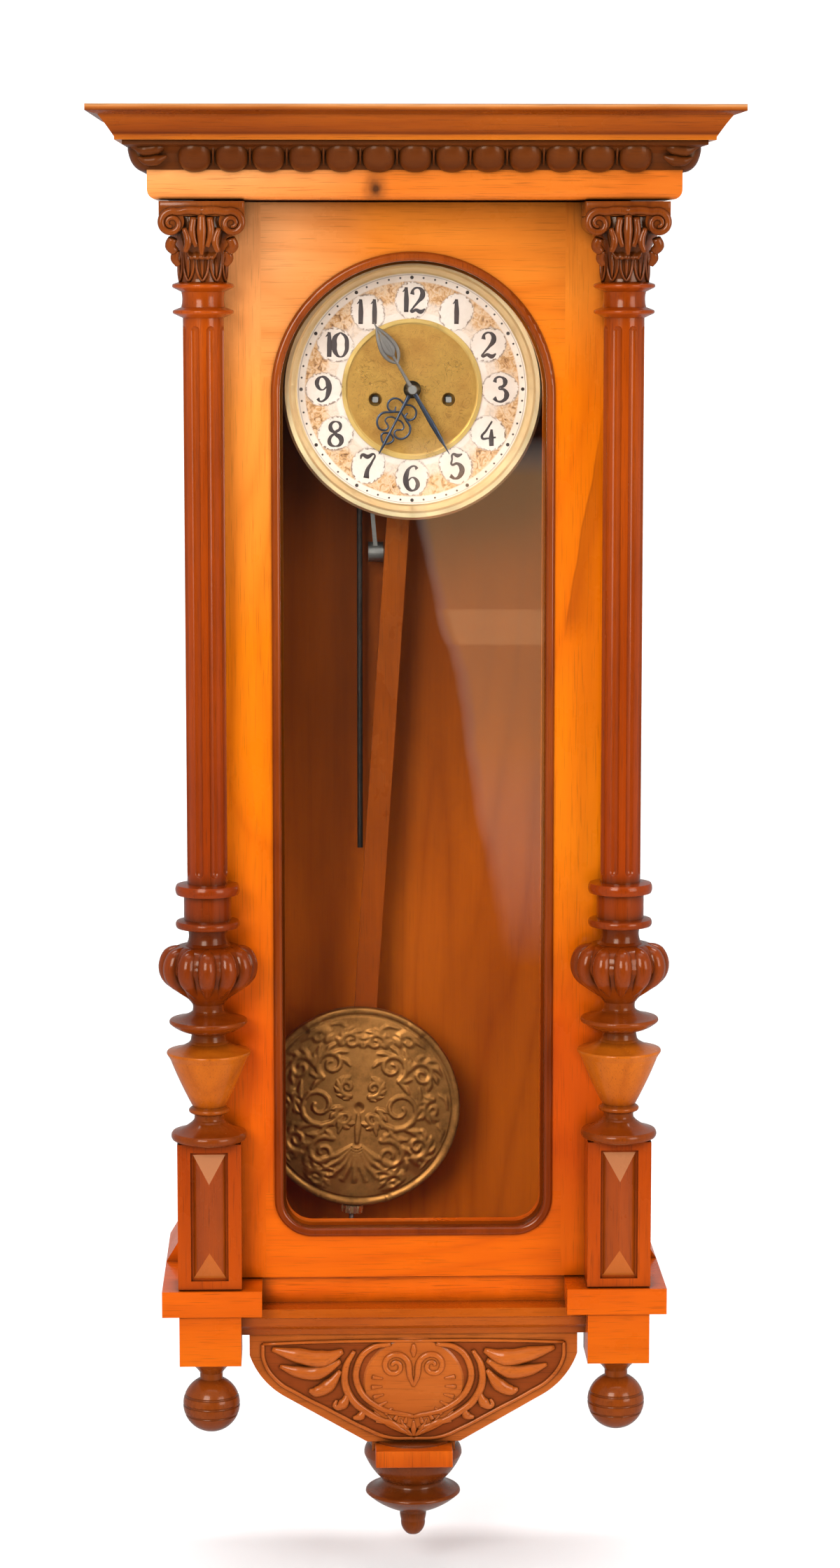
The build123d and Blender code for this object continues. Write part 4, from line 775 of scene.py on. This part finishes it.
def make_capitals():
    low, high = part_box("capital_left")
    front, top = low.y, high.z
    bm = bmesh.new()
    volute = spiral(.0225, -.0165, .0098, .0022, 118, -1.6, .003, .0014, 22)
    lines = both_sides([
        [(0, -.0075, .0035), (.01, -.0068, .0032)] + volute,
        [(.013, -.02, .002), (.01, -.03, .003), (.0125, -.038, .0018)],
        [(.0215, -.0275, .0035, .004), (.0235, -.033, .0042, .006), (.02, -.0375, .0034, .008)],
        [(.019, -.0365, .0028, .008), (.0205, -.0425, .0032, .01), (.018, -.0475, .0022, .012)],
        [(.006, -.012, .0026), (.007, -.024, .003), (.004, -.034, .0018)],
    ]) + [[(0, -.01, .003), (0, -.022, .004), (0, -.034, .0026), (0, -.04, .0012)]]
    face = strokes_mesh(lines, flat=0.75, sides=4, steps=5)
    added(bm, face, Matrix.Translation((0, front - 0.0003, top)))
    face.free()
    apron = bmesh.new()
    bmesh.ops.create_grid(apron, x_segments=14, y_segments=12, size=1.0)
    for v in apron.verts:
        u, t = v.co.x, (1 - v.co.y) / 2
        width = 0.0175 * (1 - t) ** 0.7 + 0.0085 * t
        x = u * width
        bulge = 0.0035 * sin(pi * min(1, t * 1.15)) * (1 - u * u)
        rib = 0.0009 * cos(u * pi * 4.0) * (1 - 0.4 * t)
        curl = 0.004 * max(0.0, (t - 0.8) / 0.2) ** 2
        v.co = (x, front + 0.0035 - bulge - rib + 0.006 * t - curl, top - 0.0095 - 0.0315 * t)
    bmesh.ops.solidify(apron, geom=apron.faces, thickness=0.0025)
    added(bm, apron)
    apron.free()
    abacus = bmesh.new()
    bmesh.ops.create_cube(abacus, size=1.0)
    half = (high.x - low.x) / 2
    placed(abacus, scale=(2 * half - 0.0005, high.y - front, 0.0058),
           place=(0, (front + high.y) / 2 - 0.0002, top - 0.0031))
    bmesh.ops.bevel(abacus, geom=abacus.edges, offset=0.0012, segments=3, profile=0.5, affect="EDGES", material=-1)
    added(bm, abacus)
    abacus.free()
    neck = []
    for i in range(5):
        a = radians(-68 + 34 * i)
        r = 0.0186
        lean = [(0, -.049), (.0036, -.054), (.0046, -.064), (.003, -.073), (0, -.078)]
        for side in (-1, 1):
            neck.append([(r * sin(a + side * x / r), top_z, 0.0011, -r * cos(a + side * x / r)) for x, top_z in lean])
        neck.append([(r * sin(a), -0.052, 0.0008, -r * cos(a)), (r * sin(a), -0.062, 0.0017, -r * 1.01 * cos(a)),
                     (r * sin(a), -0.075, 0.0008, -r * cos(a))])
    leaves = strokes_mesh(neck, sides=3, steps=4)
    added(bm, leaves, Matrix.Translation((0, COLUMN_Y, top + 0.018)))
    leaves.free()
    for side, name in ((-1, "left"), (1, "right")):
        one = bmesh.new()
        middle = sum(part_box("capital_" + name)[i].x for i in (0, 1)) / 2
        added(one, bm, Matrix.Translation((middle, 0, 0)))
        keep("capital_carving_" + name, one, turned_wood, "door")
    bm.free()


# ---- carved petals on the urns

def make_urn_petals():
    top, waist, foot = -0.6005, -0.613, -0.637
    shape = [(0.0, top, 0.0225), (.3, -.6055, .0305), (0.5, waist, 0.0332), (.68, -.6205, .0322),
             (.85, -.629, .0245), (1.0, foot, 0.0168)]
    lines = []
    for i in range(7):
        a = radians(-90 + 30 * i)
        lines.append([((r - 0.0024) * sin(a), z, 0.0006 + 0.0074 * sin(pi * min(1, t * 0.8 + 0.12)) ** 0.8,
                       -(r - 0.0036) * cos(a)) for t, z, r in shape])
        for spread in (-.055, .055):
            rib = []
            for t, z, r in shape[1:-1]:
                turn, reach = a + spread * (1.6 - t), r + 0.0022 - 0.001 * abs(t - 0.5)
                rib.append((reach * sin(turn), z, 0.0004 + 0.0011 * sin(pi * t), -reach * cos(turn)))
            lines.append(rib)
    petals = strokes_mesh(lines, sides=3, steps=5)
    for name in ("left", "right"):
        box_low, box_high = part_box("column_" + name)
        one = bmesh.new()
        added(one, petals, Matrix.Translation(((box_low.x + box_high.x) / 2, COLUMN_Y, 0)))
        bmesh.ops.bisect_plane(one, geom=one.verts[:] + one.edges[:] + one.faces[:], plane_co=(0, box_high.y, 0),
                               plane_no=(0, 1, 0), clear_outer=True)
        keep("urn_carving_" + name, one, turned_wood, "door")
    petals.free()


# ---- embossed bob

def raised(points, lines, soft):
    """Height of embossed strokes over flat points: each line is (x, z, half width)."""
    height = np.zeros(len(points))
    for line in lines:
        way = np.array([p[:3] for p in line], float)
        steps = np.linspace(0, len(way) - 1, (len(way) - 1) * 7 + 1)
        dense = np.stack([np.interp(steps, np.arange(len(way)), way[:, i]) for i in range(3)], axis=1)
        reach = dense[:, 2].max() * 1.6
        low, high = dense[:, :2].min(0) - reach, dense[:, :2].max(0) + reach
        near = np.where(((points >= low) & (points <= high)).all(1))[0]
        if not len(near):
            continue
        gap = points[near, None, :] - dense[None, :, :2]
        ratio = (np.sqrt((gap ** 2).sum(2)) / np.maximum(dense[None, :, 2], 1e-5)).min(1)
        dome = np.sqrt(np.clip(1 - ratio ** 2, 0, 1)) ** soft
        height[near] = np.maximum(height[near], dome * dense[:, 2].max() ** 0.5)
    return height


def curl_family():
    """Scroll ornament of the bob on a disc of radius 1, its right half; the left half is its mirror image."""
    lines = []
    for i in range(5):
        a = radians(-90 + 16 * i)
        lines.append([(0.05 * cos(a), -0.36 + 0.05 * sin(a), 0.012), (0.2 * cos(a), -0.4 + 0.2 * sin(a), 0.032),
                      (0.34 * cos(a) + 0.02 * i, -0.42 + 0.33 * sin(a), 0.018)])
    scrolls = [(.4, 0, .24, 200, 1.5), (.33, -.47, .17, 120, -1.4), (.6, -.36, .13, 250, 1.3),
               (.3, .42, .16, -60, 1.4), (.6, .36, .14, 160, -1.3), (.14, -.1, .1, 60, -1.2),
               (.72, .02, .1, 90, 1.2), (.13, .2, .09, 250, 1.2), (.12, .66, .1, -20, 1.3),
               (.44, .68, .09, 200, -1.2), (.38, -.74, .1, 30, 1.2)]
    for x, z, r, start, turns in scrolls:
        lines.append(spiral(x, z, r, r * 0.18, start, turns, 0.03, 0.016, 18))
        for i in range(6):
            a = radians(start + 360 * turns * i / 12)
            k = 1.0 - 0.05 * i
            b = a + (0.55 if turns > 0 else -0.55)
            lines.append([(x + r * k * cos(a), z + r * k * sin(a), 0.014),
                          (x + r * (k + 0.2) * cos((a + b) / 2), z + r * (k + 0.2) * sin((a + b) / 2), 0.028),
                          (x + r * (k + 0.42) * cos(b), z + r * (k + 0.42) * sin(b), 0.01)])
    for i in range(7):
        a = radians(78 - 22 * i)
        lines.append([(0.8 * cos(a), 0.8 * sin(a), 0.012), (0.86 * cos(a - 0.06), 0.86 * sin(a - 0.06), 0.022),
                      (0.87 * cos(a - 0.16), 0.87 * sin(a - 0.16), 0.01)])
    return lines


def make_bob():
    low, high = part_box("pendulum_bob")
    centre = (low + high) / 2
    radius = (high.z - low.z) / 2
    bm = bmesh.new()
    bmesh.ops.create_circle(bm, cap_ends=False, segments=256, radius=radius * 0.905)
    inner = bm.edges[:]
    for i in range(BOB_RINGS):
        made = bmesh.ops.extrude_edge_only(bm, edges=inner)["geom"]
        now, then = 1 - i / BOB_RINGS, 1 - (i + 1) / BOB_RINGS
        bmesh.ops.scale(bm, vec=(max(then / now, 0.004), max(then / now, 0.004), 1), verts=verts_of(made))
        inner = edges_of(made)
    bmesh.ops.holes_fill(bm, edges=inner)
    bm.verts.ensure_lookup_table()
    flat = np.array([v.co for v in bm.verts], float)[:, :2] / radius
    lines = both_sides(curl_family())
    lines.append([(0, -.34, .02), (0, -.2, .035), (0, -.08, .022)])
    height = raised(flat, lines, 0.8)
    distance = np.hypot(flat[:, 0], flat[:, 1])
    hole = np.clip(1 - distance / 0.045, 0, 1)
    for v, h, d, k in zip(bm.verts, height, distance, hole):
        v.co.z = 0.0112 - 0.0034 * d * d + 0.0085 * h - 0.003 * k ** 0.5
    outer = bmesh.ops.extrude_edge_only(bm, edges=[e for e in bm.edges if e.is_boundary])
    for spread, depth in ((1.012, -.0016), (1.02, .0014), (1.05, .0012), (1.012, -.0012), (1.004, -.003),
                          (.97, -.016), (.86, -.003)):
        moved = verts_of(outer["geom"])
        bmesh.ops.scale(bm, vec=(spread, spread, 1), verts=moved)
        bmesh.ops.translate(bm, vec=(0, 0, depth), verts=moved)
        if depth != -0.003 or spread > 1:
            outer = bmesh.ops.extrude_edge_only(bm, edges=edges_of(outer["geom"]))
    bmesh.ops.holes_fill(bm, edges=[e for e in bm.edges if e.is_boundary])
    turn = Matrix.Rotation(BOB_LEAN, 3, "Y") @ Matrix.Rotation(radians(90), 3, "X")
    placed(bm, turn=turn, place=centre)
    keep("embossed_bob", bm, bob_brass, "pendulum", stands_for=["pendulum_bob"])


# ---- carved apron

def make_apron_carving():
    low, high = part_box("apron_board")
    top = high.z
    border = [(.1195, -.008, .0012), (.1185, -.022, .0012), (.108, -.038, .0012), (.092, -.0485, .0012),
              (.066, -.0625, .0012), (.04, -.0765, .0012), (.02, -.085, .0012), (0, -.086, .0012)]
    lines = both_sides([
        border,
        [(.1195, -.008, .001), (.06, -.0062, .001), (0, -.006, .001)],
        [(0, -.043, .0012), (.003, -.034, .002)] 
        + spiral(.015, -.0265, .012, .002, 195, -1.5, .0022, .0014, 16),
        [(0, -.068, .0016), (.028, -.06, .002), (.044, -.043, .0022), (.044, -.024, .0022),
         (.034, -.012, .002), (.018, -.0085, .0014)],
        [(.004, -.078, .0014), (.034, -.066, .0024), (.052, -.048, .0026), (.054, -.028, .0024),
         (.047, -.014, .0014)],
        [(.056, -.014, .0018), (.072, -.02, .006), (.092, -.017, .0052), (.112, -.012, .0016)],
        [(.058, -.022, .0018), (.076, -.031, .0052), (.093, -.03, .004), (.106, -.026, .0012)],
        [(.058, -.03, .0016), (.068, -.042, .0046), (.078, -.047, .0036), (.083, -.046, .0012)],
        [(.052, -.048, .0014), (.056, -.057, .0036), (.062, -.059, .002), (.061, -.054, .001)],
        [(.04, -.06, .0012), (.042, -.067, .003), (.048, -.069, .0012)],
        [(.006, -.082, .001), (.018, -.073, .0026), (.03, -.071, .0014)],
    ] + [[(0.025 * cos(a), -0.042 + 0.025 * sin(a), 0.0007), (0.0335 * cos(a), -0.042 + 0.032 * sin(a), 0.0016)]
         for a in [radians(12 - 15 * i) for i in range(7)]]
      + [[(.0008, -.084, .0008), (0.007 * i, -0.078 + 0.0015 * i, 0.0016), (0.0105 * i, -0.0725 + 0.003 * i, 0.0006)]
         for i in range(1, 4)])
    lines += [[(0, -.0085, .0012), (0, -.014, .0022), (0, -.019, .001)],
              [(0, -.084, .001), (0, -.078, .002), (0, -.071, .0008)]]
    carving = strokes_mesh([[(x, z, w * 1.25) for x, z, w in line] for line in lines], flat=0.8, sides=3, steps=6)
    placed(carving, place=(0, low.y - 0.001, top))
    keep("apron_carving", carving, apron_wood, "case")
    # a darker sheet inside the border stands in for the sunk ground: painted shade
    ground = bmesh.new()
    edge = [(x, z) for x, z, _ in border]
    rim = [ground.verts.new((x, low.y - 0.0002, top + z)) for x, z in edge]
    rim += [ground.verts.new((-x, low.y - 0.0002, top + z)) for x, z in reversed(edge[:-1])]
    bmesh.ops.contextual_create(ground, geom=rim)
    sheet = bmesh.ops.extrude_face_region(ground, geom=ground.faces[:])["geom"]
    bmesh.ops.translate(ground, vec=(0, .0004, 0), verts=verts_of(sheet))
    keep("apron_ground", ground, ground_wood, "case", smooth=False)
    medal = bmesh.new()
    bmesh.ops.create_cone(medal, segments=64, radius1=0.0405, radius2=0.0385, depth=0.0012, cap_ends=True)
    placed(medal, turn=Matrix.Rotation(radians(90), 3, "X"), scale=(1, .94, 1), place=(0, low.y - 0.0006, top - 0.041))
    keep("apron_medallion", medal, apron_wood, "case", smooth=False)
    tongue = bmesh.new()
    bmesh.ops.create_cube(tongue, size=1.0)
    placed(tongue, scale=(.061, .0245, .0135), place=(0, -.1602, -1.0108))
    bmesh.ops.bevel(tongue, geom=tongue.edges, offset=0.0008, segments=2, profile=0.5, affect="EDGES", material=-1)
    keep("apron_tongue_face", tongue, tongue_wood, "case", smooth=False)


# ---- numerals

DIGITS = {
    "1": [[(.2, .8, .02), (.28, .88, .04), (.33, .97, .04)], [(.33, .97, .07), (.34, .5, .11), (.33, .04, .1)]],
    "2": [[(.12, .7, .1), (.16, .88, .05), (.34, .95, .04), (.5, .82, .1), (.5, .64, .12), (.34, .42, .06),
           (.14, .18, .04), (.08, .06, .05), (.26, .12, .07), (.44, .05, .1), (.6, .16, .03)]],
    "3": [[(.1, .76, .09), (.16, .92, .05), (.36, .95, .04), (.5, .8, .11), (.44, .62, .07), (.26, .54, .03),
           (.46, .48, .06), (.56, .28, .12), (.44, .07, .07), (.22, .04, .04), (.08, .18, .1)]],
    "4": [[(.46, .97, .04), (.24, .62, .05), (.08, .34, .06), (.3, .32, .04), (.6, .36, .04)],
          [(.44, .66, .05), (.43, .34, .11), (.44, .03, .1)]],
    "5": [[(.56, .96, .03), (.38, .9, .09), (.2, .95, .05), (.17, .74, .04), (.16, .56, .05), (.36, .6, .06),
           (.54, .42, .12), (.5, .18, .11), (.3, .03, .05), (.1, .14, .09)]],
    "6": [[(.52, .84, .08), (.44, .95, .04), (.26, .9, .05), (.12, .64, .11), (.1, .34, .13), (.22, .08, .08),
           (.38, .03, .04), (.54, .2, .1), (.5, .42, .08), (.34, .52, .03), (.18, .4, .04)]],
    "7": [[(.06, .78, .03), (.12, .93, .07), (.32, .86, .1), (.58, .95, .04), (.5, .68, .05), (.32, .36, .09),
           (.27, .05, .13)]],
    "8": [[(.34, .53, .05), (.16, .68, .1), (.18, .88, .07), (.36, .96, .03), (.52, .86, .07), (.5, .68, .06),
           (.34, .53, .07), (.54, .34, .12), (.54, .14, .09), (.34, .03, .03), (.12, .14, .09), (.14, .36, .07),
           (.34, .53, .04)]],
    "0": [[(.32, .96, .03), (.12, .78, .1), (.08, .5, .13), (.12, .22, .1), (.32, .04, .03), (.52, .22, .08),
           (.56, .5, .1), (.52, .78, .08), (.32, .96, .03)]],
}
DIGITS["9"] = [[(.64 - x, 1 - z, w) for x, z, w in line] for line in DIGITS["6"]]


def make_numerals():
    ring_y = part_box("dial_ring")[0].y
    lines = []
    for hour in range(1, 13):
        a = radians(30 * hour)
        x0, z0 = NUMERAL_R * sin(a), DIAL_Z + NUMERAL_R * cos(a)
        text = str(hour)
        advance = 0.52 if hour == 11 else 0.44
        for place, digit in enumerate(text):
            shift = (place - (len(text) - 1) / 2) * advance - 0.33
            for line in DIGITS[digit]:
                lines.append([(x0 + (x + shift) * NUMERAL_H, z0 + (z - 0.5) * NUMERAL_H, w * NUMERAL_H * 0.86)
                              for x, z, w in line])
    numerals = strokes_mesh(lines, flat=0.03, sides=2, steps=6)
    placed(numerals, place=(0, ring_y - 0.00002, 0))
    keep("dial_numerals", numerals, ink, "case")


# ---- hands

def make_hands():
    hour_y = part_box("hour_hand")[0].y + 0.0022
    hour = both_sides([
        [(0, .013, .0008), (.007, .0115, .0008), (.0115, .0155, .0009), (.0098, .0215, .0009),
         (.005, .0215, .0008), (.0052, .0175, .0006)],
        [(0, .0195, .0008), (.0065, .023, .0009), (.0128, .028, .001), (.012, .036, .0009),
         (.0062, .0385, .0009), (.003, .035, .0008), (.006, .0318, .0007)],
        [(0, .026, .0007), (.0046, .0262, .0007), (.0078, .03, .0007), (.005, .033, .0006)],
        [(0, .038, .0008), (.0048, .041, .0009), (.003, .0455, .0008), (0, .0475, .0007)],
    ]) + [[(0, 0, .0022), (0, .01, .0015), (0, .022, .001), (0, .034, .0009), (0, .044, .0012),
           (0, .05, .001), (0, .0565, .0003)]]
    minute = both_sides([
        [(0, .0235, .0008), (.0035, .0275, .0014), (.0058, .035, .0017), (.0046, .044, .0015),
         (.0018, .052, .001), (0, .056, .0006)],
        [(0, .03, .0014), (.0026, .0355, .002), (.0018, .044, .0014), (0, .05, .0008)],
    ]) + [[(0, 0, .0019), (0, .012, .0013), (0, .024, .001), (0, .04, .0018), (0, .054, .001),
           (0, .06, .0003)],
          [(0, 0, .0019), (0, -.01, .0016), (0, -.03, .0021), (0, -.044, .0017), (0, -.05, .0008),
           (0, -.0575, .0003)]]
    minute_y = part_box("minute_hand")[0].y + 0.0008
    for name, lines, y, turn, hub in (("hour_hand_cut", hour, hour_y, HOUR_TURN, 0.0068),
                                      ("minute_hand_leaf", minute[:-1], minute_y - 0.0012, MINUTE_TURN, 0.0044),
                                      ("minute_hand_cut", minute[-1:], minute_y, MINUTE_TURN, 0.0055)):
        cut = strokes_mesh(lines, flat=0.42, sides=3, steps=6)
        collet = bmesh.new()
        bmesh.ops.create_cone(collet, segments=32, radius1=hub, radius2=hub * 0.72, depth=0.0018, cap_ends=True)
        placed(collet, turn=Matrix.Rotation(radians(90), 3, "X"))
        added(cut, collet)
        collet.free()
        placed(cut, turn=Matrix.Rotation(radians(turn), 3, "Y"), place=(0, y, DIAL_Z))
        if name == "hour_hand_cut":
            pipe = bmesh.new()
            bmesh.ops.create_cone(pipe, segments=32, radius1=0.003, radius2=0.003, depth=0.018, cap_ends=True)
            added(cut, placed(pipe, turn=Matrix.Rotation(radians(90), 3, "X"), place=(0, y + 0.0085, DIAL_Z)))
            pipe.free()
            keep(name, cut, blued_steel, "hour_hand", stands_for=["hour_hand"])
        else:
            leaf = name == "minute_hand_leaf"
            keep(name, cut, steel_leaf if leaf else blued_steel, "minute_hand",
                 stands_for=[] if leaf else ["minute_hand"])


ink = metal("dial_ink", paint(52, 40, 38), paint(84, 62, 52), rough=0.4, metallic=0.0, patches=0.5, recess=0.0)
make_eggs()
make_capitals()
make_urn_petals()
make_bob()
make_apron_carving()
make_numerals()
make_hands()
